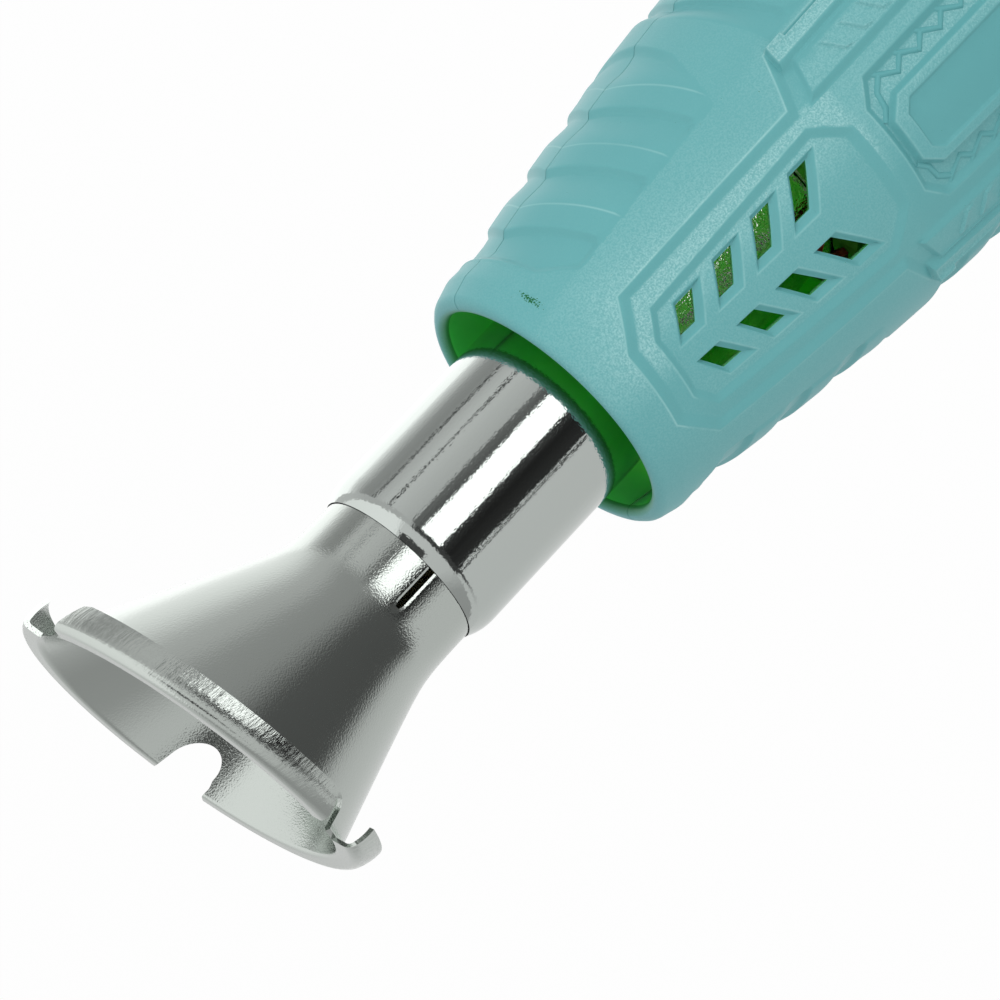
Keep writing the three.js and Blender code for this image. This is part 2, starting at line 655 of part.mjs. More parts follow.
function sheetLine() {
  const line = [[neckRadius, neckRear], [neckRadius, tubeFront]];
  const steps = 5;
  for (let i = 0; i <= steps; i++) {
    const share = i / steps;
    const radius = mix(neckRadius, MOUTH_RADIUS - CURL_RADIUS, share ** FLARE_POWER);
    line.push([radius, flareRear + share * FLARE_LENGTH]);
  }
  const curls = 4;
  const [lipRadius, lipHeight] = line[line.length - 1];
  const centre = [
    lipRadius - CURL_RADIUS * Math.cos(LIP_ANGLE * degrees),
    lipHeight - CURL_RADIUS * Math.sin(LIP_ANGLE * degrees),
  ];
  for (let i = 1; i <= curls; i++) {
    const angle = (LIP_ANGLE - CURL_SWEEP * i / curls) * degrees;
    line.push([centre[0] + CURL_RADIUS * Math.cos(angle), centre[1] + CURL_RADIUS * Math.sin(angle)]);
  }
  return line.map((point) => new THREE.Vector2(...point));
}

// Both faces of a sheet whose centre line is given, as one closed outline
function thicken(line, thickness) {
  const faces = [[], []];
  line.forEach((point, i) => {
    const before = line[Math.max(0, i - 1)];
    const after = line[Math.min(line.length - 1, i + 1)];
    const along = after.clone().sub(before).normalize();
    const across = new THREE.Vector2(along.y, -along.x).multiplyScalar(thickness / 2);
    faces[0].push(point.clone().add(across).toArray());
    faces[1].push(point.clone().sub(across).toArray());
  });
  return [...faces[0], ...faces[1].reverse()];
}

function slant(geometry) {
  const place = geometry.attributes.position;
  for (let i = 0; i < place.count; i++) {
    const x = place.getX(i);
    const z = place.getZ(i);
    const share = THREE.MathUtils.clamp((z - flareRear) / FLARE_LENGTH, 0, 1.1);
    place.setX(i, x + MOUTH_SHIFT * share);
    place.setZ(i, z + MOUTH_SLOPE * share * x);
  }
  return geometry;
}

function reflectorNozzle() {
  const bell = solid(slant(revolve(thicken(sheetLine(), SHEET), 30)));
  const reach = MOUTH_RADIUS + 3 * CURL_RADIUS + MOUTH_SHIFT;
  const slits = [-1, 1].map((sign) => {
    const slit = block([neckRadius, reach], [-LIP_SLIT_WIDTH / 2, LIP_SLIT_WIDTH / 2],
      [mouthZ + sign * MOUTH_SLOPE * MOUTH_RADIUS - 2.2 * CURL_RADIUS, mouthZ + reach]);
    return solid(slit.rotateZ((sign * LIP_SLIT_ANGLE - 90) * degrees));
  });
  const notch = alongY(rod(NOTCH_RADIUS, neckRadius, reach, 16)).translate(0, 0, mouthZ + CURL_RADIUS);
  const slot = block([-NECK_SLOT_WIDTH / 2, NECK_SLOT_WIDTH / 2], [-neckRadius - 2, 0],
    [neckRear - 1, tubeFront + NECK_SLOT_LENGTH]);
  const cut = without(bell, ...slits, solid(notch), solid(slot));
  return geometryOf(cut).rotateZ(NOZZLE_TURN * degrees);
}

// Duct round the fan, with the motor's socket on four spokes
function fanDuct() {
  const bore = ductRadius - DUCT_WALL;
  const socket = MOTOR_RADIUS + CLEARANCE;
  const rim = solid(ring(bore, ductRadius, ductRear, ductFront, 28));
  const cup = solid(revolve([
    [socket, ductRear - MOTOR_SEAT], [socket + SOCKET_WALL, ductRear - MOTOR_SEAT],
    [socket + SOCKET_WALL, webFront], [BOSS_RADIUS + CLEARANCE, webFront],
    [BOSS_RADIUS + CLEARANCE, motorFront + SEAT_GAP], [socket, motorFront + SEAT_GAP],
  ], 24));
  const spokes = [];
  for (let i = 0; i < 4; i++) {
    const out = [socket + SOCKET_WALL / 2, bore + DUCT_WALL / 2];
    const spoke = block(out, [-SPOKE_WIDTH / 2, SPOKE_WIDTH / 2], [ductRear, webFront]);
    spokes.push(solid(spoke.rotateZ((i + 0.5) * TURN / 4)));
  }
  return joined(rim, cup, ...spokes);
}

function motorCan() {
  const bossTop = motorFront + BOSS_HEIGHT;
  const can = revolve([
    [0, motorRear], [MOTOR_RADIUS, motorRear], [MOTOR_RADIUS, motorFront - 1],
    [MOTOR_RADIUS - 1, motorFront], [BOSS_RADIUS, motorFront], [BOSS_RADIUS, bossTop], [0, bossTop],
  ], 24);
  const bearing = rod(SHAFT_RADIUS + CLEARANCE, motorRear + MOTOR_LENGTH / 2, bossTop + 1, 12);
  return solid(can).subtract(solid(bearing));
}

function motorEndCap() {
  const high = motorRear - SEAT_GAP;
  const cap = solid(rod(MOTOR_RADIUS - 0.6, endCapRear, high, 28));
  const posts = [-1, 1].map((sign) => {
    const post = rod(POST_RADIUS, endCapRear - POST_HEIGHT, endCapRear + 1, 10);
    return solid(post.translate(0, sign * BOARD_SIZE * 0.36, 0));
  });
  return joined(cap, ...posts);
}

const hubLow = motorFront + BOSS_HEIGHT + HUB_STANDOFF;
const hubHigh = hubLow + HUB_HEIGHT;
const motorShaft = () => rod(SHAFT_RADIUS, motorRear + MOTOR_LENGTH / 2 + CLEARANCE, hubHigh, 12);

// Axial fan: each blade is a thin block twisted from its root to its tip
function impeller() {
  const tip = ductRadius - DUCT_WALL - TIP_GAP;
  const hub = solid(revolve([
    [SHAFT_RADIUS + CLEARANCE, hubLow], [HUB_RADIUS, hubLow], [HUB_RADIUS, hubHigh - 2],
    [HUB_RADIUS - 2, hubHigh], [SHAFT_RADIUS + CLEARANCE, hubHigh],
  ], 24));
  const blades = [];
  for (let i = 0; i < BLADE_COUNT; i++) {
    const blade = new THREE.BoxGeometry(1, 1, 1, 3, 2, 1);
    const place = blade.attributes.position;
    for (let j = 0; j < place.count; j++) {
      const out = place.getX(j) + 0.5;
      const radius = mix(HUB_RADIUS - 1, tip, out);
      const pitch = mix(55, 32, out) * degrees;
      const chord = place.getY(j) * mix(HUB_HEIGHT * 0.85, HUB_HEIGHT * 1.25, out);
      const thick = place.getZ(j) * BLADE_THICKNESS;
      const around = chord * Math.cos(pitch) - thick * Math.sin(pitch);
      const height = chord * Math.sin(pitch) + thick * Math.cos(pitch);
      const angle = around / radius;
      place.setXYZ(j, radius * Math.cos(angle), radius * Math.sin(angle), (hubLow + hubHigh) / 2 + height);
    }
    blades.push(solid(blade.rotateZ(i * TURN / BLADE_COUNT)));
  }
  return joined(hub, ...blades);
}

const rectifierBoard = () => {
  const half = BOARD_SIZE / 2;
  return block([-half, half], [-half, half], [boardRear, boardFront]);
};

function diode(i) {
  const x = (i - 1.5) * BOARD_SIZE / 4;
  const z = boardRear - SEAT_GAP - DIODE_RADIUS;
  return alongY(rod(DIODE_RADIUS, -DIODE_LENGTH / 2, DIODE_LENGTH / 2, 12)).translate(x, 0, z);
}

function switchBezel() {
  const flange = solid(switchBox([flangeLow, flangeTop], BEZEL_WIDTH, BEZEL_LENGTH));
  const tube = solid(switchBox([bezelLow, flangeLow + BEZEL_FLANGE / 2], boxWidth, boxLength));
  const well = solid(switchBox([bezelLow - 1, flangeTop + 1], wellWidth, wellLength));
  const reach = wellWidth / 2 + PIVOT_LENGTH;
  const pivots = alongY(rod(PIVOT_RADIUS + CLEARANCE, -reach, reach, 14)).translate(pivotX, 0, switchZ);
  return without(flange.add(tube), well, solid(pivots));
}

// Rocker: its side outline is a shallow valley between two raised ends
function rocker() {
  const end = ROCKER_LENGTH / 2;
  const outline = new THREE.Shape();
  outline.moveTo(-1, -end);
  outline.lineTo(ROCKER_RISE - 0.4, -end);
  outline.lineTo(ROCKER_RISE, -end + 0.6);
  outline.quadraticCurveTo(ROCKER_VALLEY, -end / 2, ROCKER_VALLEY, 0);
  outline.quadraticCurveTo(ROCKER_VALLEY, end / 2, ROCKER_RISE, end - 0.6);
  outline.lineTo(ROCKER_RISE - 0.4, end);
  outline.lineTo(-1, end);
  const settings = { depth: ROCKER_WIDTH, bevelEnabled: false, curveSegments: 6 };
  const body = new THREE.ExtrudeGeometry(outline, settings);
  body.translate(0, 0, -ROCKER_WIDTH / 2).rotateX(Math.PI / 2);
  const reach = ROCKER_WIDTH / 2 + PIVOT_LENGTH;
  const pins = alongY(rod(PIVOT_RADIUS, -reach, reach, 14));
  return geometryOf(joined(solid(body), solid(pins))).translate(pivotX, 0, switchZ);
}

const switchBody = () => switchBox([switchLow, bezelLow - SEAT_GAP], boxWidth - 1, boxLength - 1);

const terminalX = switchLow - SEAT_GAP;
const terminalZ = (i) => switchZ + (i - 1) * boxLength * 0.32;
function terminal(i) {
  const x = [terminalX - TERMINAL_LENGTH, terminalX];
  const y = [-TERMINAL_WIDTH / 2, TERMINAL_WIDTH / 2];
  return block(x, y, [terminalZ(i) - TERMINAL_GAUGE / 2, terminalZ(i) + TERMINAL_GAUGE / 2]);
}

// Leads from the switch to the rectifier board, one on each side of the diodes
function switchLead(i, side) {
  const start = terminalX - TERMINAL_LENGTH - LEAD_RADIUS - SEAT_GAP;
  const end = -BOARD_SIZE / 2 + 2 * LEAD_RADIUS;
  const y = side * (DIODE_LENGTH / 2 + LEAD_RADIUS + 2 * CLEARANCE);
  return wire([
    [start, y / 2, terminalZ(i) - 1],
    [start, y / 2, terminalZ(i) + 2],
    [end, y, mix(terminalZ(i), boardRear, 0.6)],
    [end, y, boardRear - SEAT_GAP],
  ], LEAD_RADIUS, 10);
}

// Bush in the lower spine for the mains cord, split neither way: it is trapped by both halves
function cordGland() {
  const back = BODY_LENGTH - GLAND_HEIGHT;
  const outside = bodyRadius(back) + CLEARANCE;
  const inside = Math.sqrt(innerRadius(back) ** 2 - GLAND_COLLAR ** 2) - CLEARANCE;
  const end = outside + GLAND_COLLAR_THICKNESS;
  const bush = revolve([
    [GLAND_BORE, inside - 1.4], [GLAND_COLLAR, inside - 1.4], [GLAND_COLLAR, inside],
    [GLAND_NECK, inside], [GLAND_NECK, outside], [GLAND_COLLAR, outside], [GLAND_COLLAR - 0.8, end],
    [GLAND_BORE + 0.5, end], [GLAND_BORE, end - 0.5],
  ], 16);
  return alongX(bush).rotateZ(Math.PI).translate(0, 0, GLAND_HEIGHT);
}

function housingScrew([x, z]) {
  const low = SCREW_SEAT + SEAT_GAP - SCREW_LENGTH;
  const screw = revolve([
    [0, low], [SCREW_RADIUS, low + 1], [SCREW_RADIUS, SCREW_SEAT + SEAT_GAP],
    [HEAD_RADIUS, SCREW_SEAT + SEAT_GAP], [HEAD_RADIUS, SCREW_SEAT + HEAD_HEIGHT * 0.6],
    [HEAD_RADIUS * 0.6, SCREW_SEAT + HEAD_HEIGHT], [0, SCREW_SEAT + HEAD_HEIGHT],
  ], 12);
  return alongY(screw).translate(x, 0, z);
}

// Materials
const paint = { color: '#74b0b4', roughness: 0.5, metalness: 0 };
const chrome = { color: '#d8dcd8', roughness: 0.12, metalness: 1 };
const steel = { color: '#a9aaa6', roughness: 0.35, metalness: 1 };
const black = { color: '#1d1e20', roughness: 0.55, metalness: 0 };
const mica = { color: '#b9a684', roughness: 0.6, metalness: 0 };
const ceramic = { color: '#e6e0d2', roughness: 0.8, metalness: 0 };
const copper = { color: '#b87a4b', roughness: 0.35, metalness: 1 };
const fibre = { color: '#2f6b3a', roughness: 0.6, metalness: 0 };
const red = { color: '#a63a2c', roughness: 0.6, metalness: 0 };
const rubber = { color: '#26282a', roughness: 0.85, metalness: 0 };

const tool = new THREE.Group();
function add(name, form, look) {
  const geometry = form.isBufferGeometry ? form : geometryOf(form);
  const mesh = new THREE.Mesh(geometry, new THREE.MeshStandardMaterial({ ...look, flatShading: true }));
  mesh.name = name;
  tool.add(mesh);
}

add('shell_near', shellHalf(NEAR), paint);
add('shell_far', shellHalf(FAR), paint);
add('tail_cap', tailCap(), paint);
add('foot_pad', footPad(), rubber);
add('heater_tube', heaterTube(), chrome);
add('reflector_nozzle', reflectorNozzle(), chrome);
add('support_plate', supportPlate(), black);
add('heater_base', heaterBase(), ceramic);
add('mica_sleeve', micaSleeve(), mica);
add('mica_board_1', micaBoard(false), mica);
add('mica_board_2', micaBoard(true), mica);
add('heating_coil', heatingCoil(), copper);
add('cutout_band', band(), steel);
add('thermal_cutout', thermalCutout(), black);
add('lead_red', redLead(), red);
add('fan_duct', fanDuct(), black);
add('motor_can', motorCan(), steel);
add('motor_end_cap', motorEndCap(), black);
add('motor_shaft', motorShaft(), steel);
add('impeller', impeller(), black);
add('rectifier_board', rectifierBoard(), fibre);
for (let i = 0; i < 4; i++) {
  add(`diode_${i + 1}`, diode(i), black);
}
add('switch_bezel', switchBezel(), black);
add('switch_body', switchBody(), black);
add('rocker', rocker(), black);
for (let i = 0; i < 3; i++) {
  add(`switch_terminal_${i + 1}`, terminal(i), copper);
}
add('lead_black', switchLead(1, 1), black);
add('lead_brown', switchLead(2, -1), red);
add('cord_gland', cordGland(), rubber);
screwPlaces().forEach((place, i) => add(`housing_screw_${i + 1}`, housingScrew(place), steel));

export default tool;
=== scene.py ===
# %% [markdown]
# # A hot air tool for crafts, dressed in Blender
# The solids of the tool come in as a fixed frame. This lesson puts a moulded, painted
# housing, bright and drawn chrome and the small parts around that frame, one step per cell.

# %% Load the frame
import math

import bmesh
import bpy
import numpy as np
from mathutils import Matrix, Vector
from mathutils.geometry import delaunay_2d_cdt
from mathutils.kdtree import KDTree


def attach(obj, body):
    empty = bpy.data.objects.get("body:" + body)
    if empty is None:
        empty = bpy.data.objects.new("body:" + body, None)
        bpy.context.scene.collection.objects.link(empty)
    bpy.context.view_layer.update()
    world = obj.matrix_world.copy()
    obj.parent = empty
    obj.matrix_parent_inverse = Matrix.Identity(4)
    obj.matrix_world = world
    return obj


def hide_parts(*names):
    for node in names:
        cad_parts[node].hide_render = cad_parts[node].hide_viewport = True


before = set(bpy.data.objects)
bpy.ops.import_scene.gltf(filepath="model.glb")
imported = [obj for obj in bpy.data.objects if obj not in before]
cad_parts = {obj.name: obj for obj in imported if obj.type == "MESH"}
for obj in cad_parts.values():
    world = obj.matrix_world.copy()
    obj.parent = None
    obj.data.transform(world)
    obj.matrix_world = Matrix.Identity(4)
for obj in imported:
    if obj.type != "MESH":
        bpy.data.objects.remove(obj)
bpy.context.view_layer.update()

# %% [markdown]
# ## Units, colours and nodes
# All sizes below are written in millimetres, as on a drawing, and scaled once when a mesh is
# made. Colours are picked as sRGB hex values, but shaders work in linear light, so one
# function turns them. One more adds a node with its settings and links in a single call.

# %% Small helpers
MM = 0.001


def linear(code):
    """sRGB hex colour as linear RGBA."""
    channels = [int(code[i:i + 2], 16) / 255 for i in (1, 3, 5)]
    return [c / 12.92 if c < 0.04045 else ((c + 0.055) / 1.055) ** 2.4 for c in channels] + [1.0]


def add_node(tree, kind, values=(), **settings):
    """A node with its settings, and its inputs set to a value or linked to another's output."""
    made = tree.nodes.new(kind)
    for name, value in settings.items():
        setattr(made, name, value)
    for name, value in dict(values).items():
        if isinstance(value, bpy.types.NodeSocket):
            tree.links.new(value, made.inputs[name])
        else:
            made.inputs[name].default_value = value
    return made


def new_material(name, colour, roughness, metallic=0.0):
    """A material with one shader, which its cell then gives patterns. Returns it with both ends."""
    material = bpy.data.materials.new(name)
    material.use_nodes = True
    shader = material.node_tree.nodes["Principled BSDF"]
    shader.inputs["Base Color"].default_value = linear(colour)
    shader.inputs["Roughness"].default_value = roughness
    shader.inputs["Metallic"].default_value = metallic
    return material, material.node_tree, shader


def per_mm(size):
    """Texture scale at which one cell of a pattern is this many millimetres wide."""
    return 1 / (size * MM)


print("teal in linear light:", [round(c, 3) for c in linear("#64aaad")])

# %% [markdown]
# ## Teal paint over green plastic
# The housing is green ABS, moulded in two halves and sprayed teal on the outside. The mould was
# spark eroded on its raised lands, which leaves a fine grit there, while the sunk panels are
# smoother. The grit could be real geometry, but at a fifth of a millimetre it is cheaper as a
# bump. Where the grit faces the light from above, its colour is also paled: a painted sheen. The
# crests get a painted highlight line. Values stored on the mesh tell the paint where the lands,
# the crests with their painted highlight and the bare inside are.

# %% Sprayed paint: satin teal, with grit and a painted sheen on the lands, and a painted highlight along the crests
GRIT_SIZE, CLOUD_SIZE = 0.2, 30  # millimetres: grains of the spark-eroded mould, and thicker patches of paint
teal_paint, tree, shader = new_material("sprayed_paint_teal", "#62a9ac", 0.45)
shader.inputs["Specular IOR Level"].default_value = 0.2
place = add_node(tree, "ShaderNodeTexCoord").outputs["Object"]
grain = add_node(tree, "ShaderNodeAttribute", attribute_name="grain").outputs["Fac"]
edge = add_node(tree, "ShaderNodeAttribute", attribute_name="edge").outputs["Fac"]
cloud = add_node(tree, "ShaderNodeTexNoise", {"Vector": place, "Scale": per_mm(CLOUD_SIZE), "Detail": 3.0})
grit = add_node(tree, "ShaderNodeTexNoise", {"Vector": place, "Scale": per_mm(GRIT_SIZE), "Detail": 2.0})
tint = add_node(tree, "ShaderNodeMix", {0: cloud.outputs["Fac"], 6: linear("#5ea5a9"), 7: linear("#69afb1")},
                data_type="RGBA")
# Painted sheen: the grit's colour is paled towards white on the lands that face the light from above.
sheen_speckle = add_node(tree, "ShaderNodeMapRange", {"Value": grit.outputs["Fac"], 1: 0.38, 2: 0.68,
                                              3: 0.18, 4: 0.88})
painted_sheen = add_node(tree, "ShaderNodeMath", {0: sheen_speckle.outputs[0], 1: grain}, operation="MULTIPLY")
with_painted_sheen = add_node(tree, "ShaderNodeMix", {0: painted_sheen.outputs[0], 6: tint.outputs[2], 7: linear("#a6d5d5")},
                  data_type="RGBA")
# A painted highlight along the crests: pale teal, patchy with the paint's clouds.
highlight_patches = add_node(tree, "ShaderNodeMapRange", {"Value": cloud.outputs["Fac"], 1: 0.4, 2: 0.6, 3: 0.2, 4: 0.5})
painted_highlight = add_node(tree, "ShaderNodeMath", {0: edge, 1: highlight_patches.outputs[0]}, operation="MULTIPLY")
with_painted_highlight = add_node(tree, "ShaderNodeMix", {0: painted_highlight.outputs[0], 6: with_painted_sheen.outputs[2], 7: linear("#b0dddb")},
                 data_type="RGBA")
print("paint so far:", len(tree.nodes), "nodes")

# %% A scuff near the rim, where small chips bare the green plastic
ACROSS = Vector((1, 1, 4))       # the scuff runs round the rim, so distances along the tool count more
SCUFF = Vector((14.0, -10.0, 176.7)) * MM * ACROSS
SCUFF_REACH = 2.8                # millimetres from its middle to the last chips
squeezed = add_node(tree, "ShaderNodeVectorMath", {0: place, 1: ACROSS}, operation="MULTIPLY")
away = add_node(tree, "ShaderNodeVectorMath", {0: squeezed.outputs[0], 1: SCUFF}, operation="DISTANCE")
worn = add_node(tree, "ShaderNodeMapRange", {"Value": away.outputs["Value"], 1: 0.0, 2: SCUFF_REACH * MM,
                                             3: 0.42, 4: 0.0})
hurt = add_node(tree, "ShaderNodeMath", {0: grit.outputs["Fac"], 1: worn.outputs[0]}, operation="ADD")
chip = add_node(tree, "ShaderNodeMath", {0: hurt.outputs[0], 1: 0.78}, operation="GREATER_THAN")
chipped = add_node(tree, "ShaderNodeMix", {0: chip.outputs[0], 6: with_painted_highlight.outputs[2], 7: linear("#1f6a3e")},
                   data_type="RGBA")
print("paint with its scuff:", len(tree.nodes), "nodes")

# %% Overspray inside the rim: the coat thins out and the green shows through; then grit and gloss
bare = add_node(tree, "ShaderNodeAttribute", attribute_name="bare").outputs["Fac"]
coat = add_node(tree, "ShaderNodeMix", {0: bare, 6: chipped.outputs[2], 7: linear("#2a9638")},
                data_type="RGBA")
depth = add_node(tree, "ShaderNodeMath", {0: grain, 1: 0.5, 2: 0.06}, operation="MULTIPLY_ADD")
bump = add_node(tree, "ShaderNodeBump", {"Height": grit.outputs["Fac"], "Strength": depth.outputs[0],
                                         "Distance": 0.12 * MM})
gloss = add_node(tree, "ShaderNodeMapRange", {"Value": grain, 3: 0.4, 4: 0.56})
tree.links.new(coat.outputs[2], shader.inputs["Base Color"])
tree.links.new(gloss.outputs[0], shader.inputs["Roughness"])
tree.links.new(bump.outputs["Normal"], shader.inputs["Normal"])
print("whole paint:", len(tree.nodes), "nodes")

# %% Moulded ABS: the green plastic itself, glossy with faint flow marks, inside rim and windows
green_abs, tree, shader = new_material("moulded_abs_green", "#4cbc66", 0.4)
shader.inputs["Subsurface Weight"].default_value = 0.9
shader.inputs["Subsurface Radius"].default_value = (0.8, 1.0, 0.6)
shader.inputs["Subsurface Scale"].default_value = 6 * MM
place = add_node(tree, "ShaderNodeTexCoord").outputs["Object"]
flow = add_node(tree, "ShaderNodeTexNoise", {"Vector": place, "Scale": per_mm(9), "Detail": 4.0})
tint = add_node(tree, "ShaderNodeMix", {0: flow.outputs["Fac"], 6: linear("#44b15e"), 7: linear("#54c86e")},
                data_type="RGBA")
ripple = add_node(tree, "ShaderNodeBump", {"Height": flow.outputs["Fac"], "Strength": 0.1,
                                           "Distance": 0.2 * MM})
tree.links.new(tint.outputs[2], shader.inputs["Base Color"])
tree.links.new(ripple.outputs["Normal"], shader.inputs["Normal"])
print("housing finishes:", teal_paint.name, green_abs.name)

# %% [markdown]
# ## Chrome, bright and drawn
# The heater tube is polished and chromed, so it mirrors its surroundings as sharp bands. The
# reflector is pressed from the same sheet: drawing it over the die leaves a pebbled skin and
# fine streaks across its turned lip. Both are a metal with chrome's grey; only the roughness and
# the bump differ. The lip's streaks follow three values stored on the mesh.

# %% Polished chrome on the tube: clear bands, with a trace of drawing lines, and grainy inside the housing
POLISH_FROM, POLISH_TO = 166, 172   # heights between which the polish sets in
bright_chrome, tree, shader = new_material("polished_chrome", "#c4cac6", 0.07, 1.0)
place = add_node(tree, "ShaderNodeTexCoord").outputs["Object"]
stretch = add_node(tree, "ShaderNodeMapping", {"Vector": place, "Scale": (1, 1, 0.05)})
wipe = add_node(tree, "ShaderNodeTexNoise", {"Vector": stretch.outputs[0], "Scale": per_mm(0.6),
                                             "Detail": 3.0})
haze = add_node(tree, "ShaderNodeMapRange", {"Value": wipe.outputs["Fac"], 1: 0.35, 2: 0.75,
                                             3: 0.04, 4: 0.12})
frost = add_node(tree, "ShaderNodeTexNoise", {"Vector": place, "Scale": per_mm(0.3), "Detail": 1.0})
rough_skin = add_node(tree, "ShaderNodeMath", {0: frost.outputs["Fac"], 1: 1.0, 2: wipe.outputs["Fac"]},
                      operation="MULTIPLY_ADD")
level = add_node(tree, "ShaderNodeSeparateXYZ", {0: place}).outputs["Z"]
polish = add_node(tree, "ShaderNodeMapRange", {"Value": level, 1: POLISH_FROM * MM, 2: POLISH_TO * MM,
                                               3: 0.7, 4: 0.09})
lines = add_node(tree, "ShaderNodeBump", {"Height": rough_skin.outputs[0], "Strength": polish.outputs[0],
                                          "Distance": 0.1 * MM})
tree.links.new(haze.outputs[0], shader.inputs["Roughness"])
tree.links.new(lines.outputs["Normal"], shader.inputs["Normal"])
print("polished chrome:", len(tree.nodes), "nodes")

# %% Drawn chrome on the reflector: pebbled satin, streaked across the lip
drawn_chrome, tree, shader = new_material("drawn_chrome", "#c1c7c2", 0.16, 1.0)
place = add_node(tree, "ShaderNodeTexCoord").outputs["Object"]
lip, around, along = [add_node(tree, "ShaderNodeAttribute", attribute_name=name).outputs["Fac"]
                      for name in ("lip", "around", "along")]
pebble = add_node(tree, "ShaderNodeTexNoise", {"Vector": place, "Scale": per_mm(0.2), "Detail": 1.0})
across = add_node(tree, "ShaderNodeMath", {0: along, 1: 0.12}, operation="MULTIPLY")
drawn = add_node(tree, "ShaderNodeCombineXYZ", {"X": around, "Y": across.outputs[0]})
streak = add_node(tree, "ShaderNodeTexNoise", {"Vector": drawn.outputs[0], "Scale": 2.4, "Detail": 4.0,
                                               "Roughness": 0.7})
scratch = add_node(tree, "ShaderNodeMath", {0: streak.outputs["Fac"], 1: lip}, operation="MULTIPLY")
smooth = add_node(tree, "ShaderNodeMapRange", {"Value": lip, 3: 1.0, 4: 0.3})
pebbles = add_node(tree, "ShaderNodeMath", {0: pebble.outputs["Fac"], 1: smooth.outputs[0]},
                   operation="MULTIPLY")
skin_height = add_node(tree, "ShaderNodeMath", {0: scratch.outputs[0], 1: 6.0, 2: pebbles.outputs[0]},
                       operation="MULTIPLY_ADD")
skin = add_node(tree, "ShaderNodeBump", {"Height": skin_height.outputs[0], "Strength": 0.25,
                                         "Distance": 0.08 * MM})
satin = add_node(tree, "ShaderNodeMapRange", {"Value": pebble.outputs["Fac"], 3: 0.08, 4: 0.2})
tree.links.new(skin.outputs["Normal"], shader.inputs["Normal"])
tree.links.new(satin.outputs[0], shader.inputs["Roughness"])
print("metal finishes:", bright_chrome.name, drawn_chrome.name)

# %% [markdown]
# ## The housing's form
# The housing swells from the rim to the grip and draws in again to the tail, so its radius is a
# function of the distance behind the rim. Everything on it, from the vent panel to the ribs, is
# a step up or down from that form. One could carve such steps with booleans, but the edges of a
# moulding slope and are rounded. Here the half shell is unrolled to a flat pattern instead:
# millimetres behind the rim one way, degrees from the middle of the side the other way. Each
# step is a straight-edged field with its own edge widths, and the heights simply add up.

# %% Radius along the housing
BODY_LENGTH, RIM_RADIUS, GRIP_RADIUS, TAIL_RADIUS = 180, 16.5, 24.7, 22
SWELL_LENGTH, SWELL_POWER, WALL, SHELL_REAR = 95, 2.4, 2.0, 168


def body_radius(back):
    """Outer radius of the plain form at a distance behind the rim."""
    swell = np.clip(1 - back / SWELL_LENGTH, 0, 1) ** SWELL_POWER
    draw_in = np.clip((back - SWELL_LENGTH) / (BODY_LENGTH - SWELL_LENGTH), 0, None) ** 2
    return GRIP_RADIUS - (GRIP_RADIUS - RIM_RADIUS) * swell - (GRIP_RADIUS - TAIL_RADIUS) * draw_in


print("radius at rim, grip and tail:", body_radius(np.array([0.0, 95.0, 168.0])).round(2))

# %% Fields of the flat pattern
DEGREE = math.radians(1) * 20   # width of one degree on the flat pattern


def field(corners, widths, height=0.0, crest=None):
    """A straight-edged field with the width of the slope at each edge, and the edges that get a painted
    highlight.
    """
    corner = np.array([(back, angle * DEGREE) for back, angle in corners], float)
    along = np.roll(corner, -1, axis=0) - corner
    after = np.roll(corner, -1, axis=0)
    turn = np.sign((corner[:, 0] * after[:, 1] - after[:, 0] * corner[:, 1]).sum())
    inward = turn * np.stack([-along[:, 1], along[:, 0]], 1) / np.linalg.norm(along, axis=1)[:, None]
    width = np.broadcast_to(np.array(widths, float), len(corner)).copy()
    return {"corner": corner, "inward": inward, "width": width, "height": height, "crest": crest}


def reach(form, points):
    """Distance of each point inside each edge of a field."""
    return ((points[:, None, :] - form["corner"][None]) * form["inward"][None]).sum(2)


def inside(form, points):
    """How far in points lie: 0 on the edge, 1 where the slope ends."""
    return (reach(form, points) / form["width"][None]).min(1)


def rounded(share):
    """A share from 0 to 1, eased at both ends."""
    share = np.clip(share, 0, 1)
    return share * share * (3 - 2 * share)


def outline(form, share, shift=0.0):
    """The field's outline, moved in to a share of its slope, and then by a shift."""
    normal = form["inward"]
    line = (normal * form["corner"]).sum(1) + form["width"] * share + shift
    before, line_before = np.roll(normal, 1, axis=0), np.roll(line, 1)
    across = before[:, 0] * normal[:, 1] - before[:, 1] * normal[:, 0]
    x = (line_before * normal[:, 1] - line * before[:, 1]) / across
    y = (before[:, 0] * line - normal[:, 0] * line_before) / across
    return np.stack([x, y], 1)


sample = field([(0, 0), (10, 0), (10, 30), (0, 30)], 2)
print("a point 1 mm inside a field lies at", inside(sample, np.array([[1.0, 5.0]]))[0], "of its slope")

# %% [markdown]
# ## The steps on each side
# Around the vents two eight-sided steps lead down. The first one opens rearward into a strap
# between the tread recess and two toothed terraces. A field is given by its upper corners, each
# millimetres behind the rim and degrees from the middle, then by the widths of its slopes.

# %% Vent panel, tread recess and plaque
def both(corners):
    """The same corners above and below the middle of the side."""
    return [corners, [(back, -angle) for back, angle in corners]]


def panel(upper, front, sides, rear, height, lower=None, crest=None):
    """A field from its upper corners, front to rear; the lower ones mirror them unless they are given."""
    lower = lower or [(back, -angle) for back, angle in upper]
    return field(upper + lower[::-1], sides + [rear] + sides[::-1] + [front], height, crest)


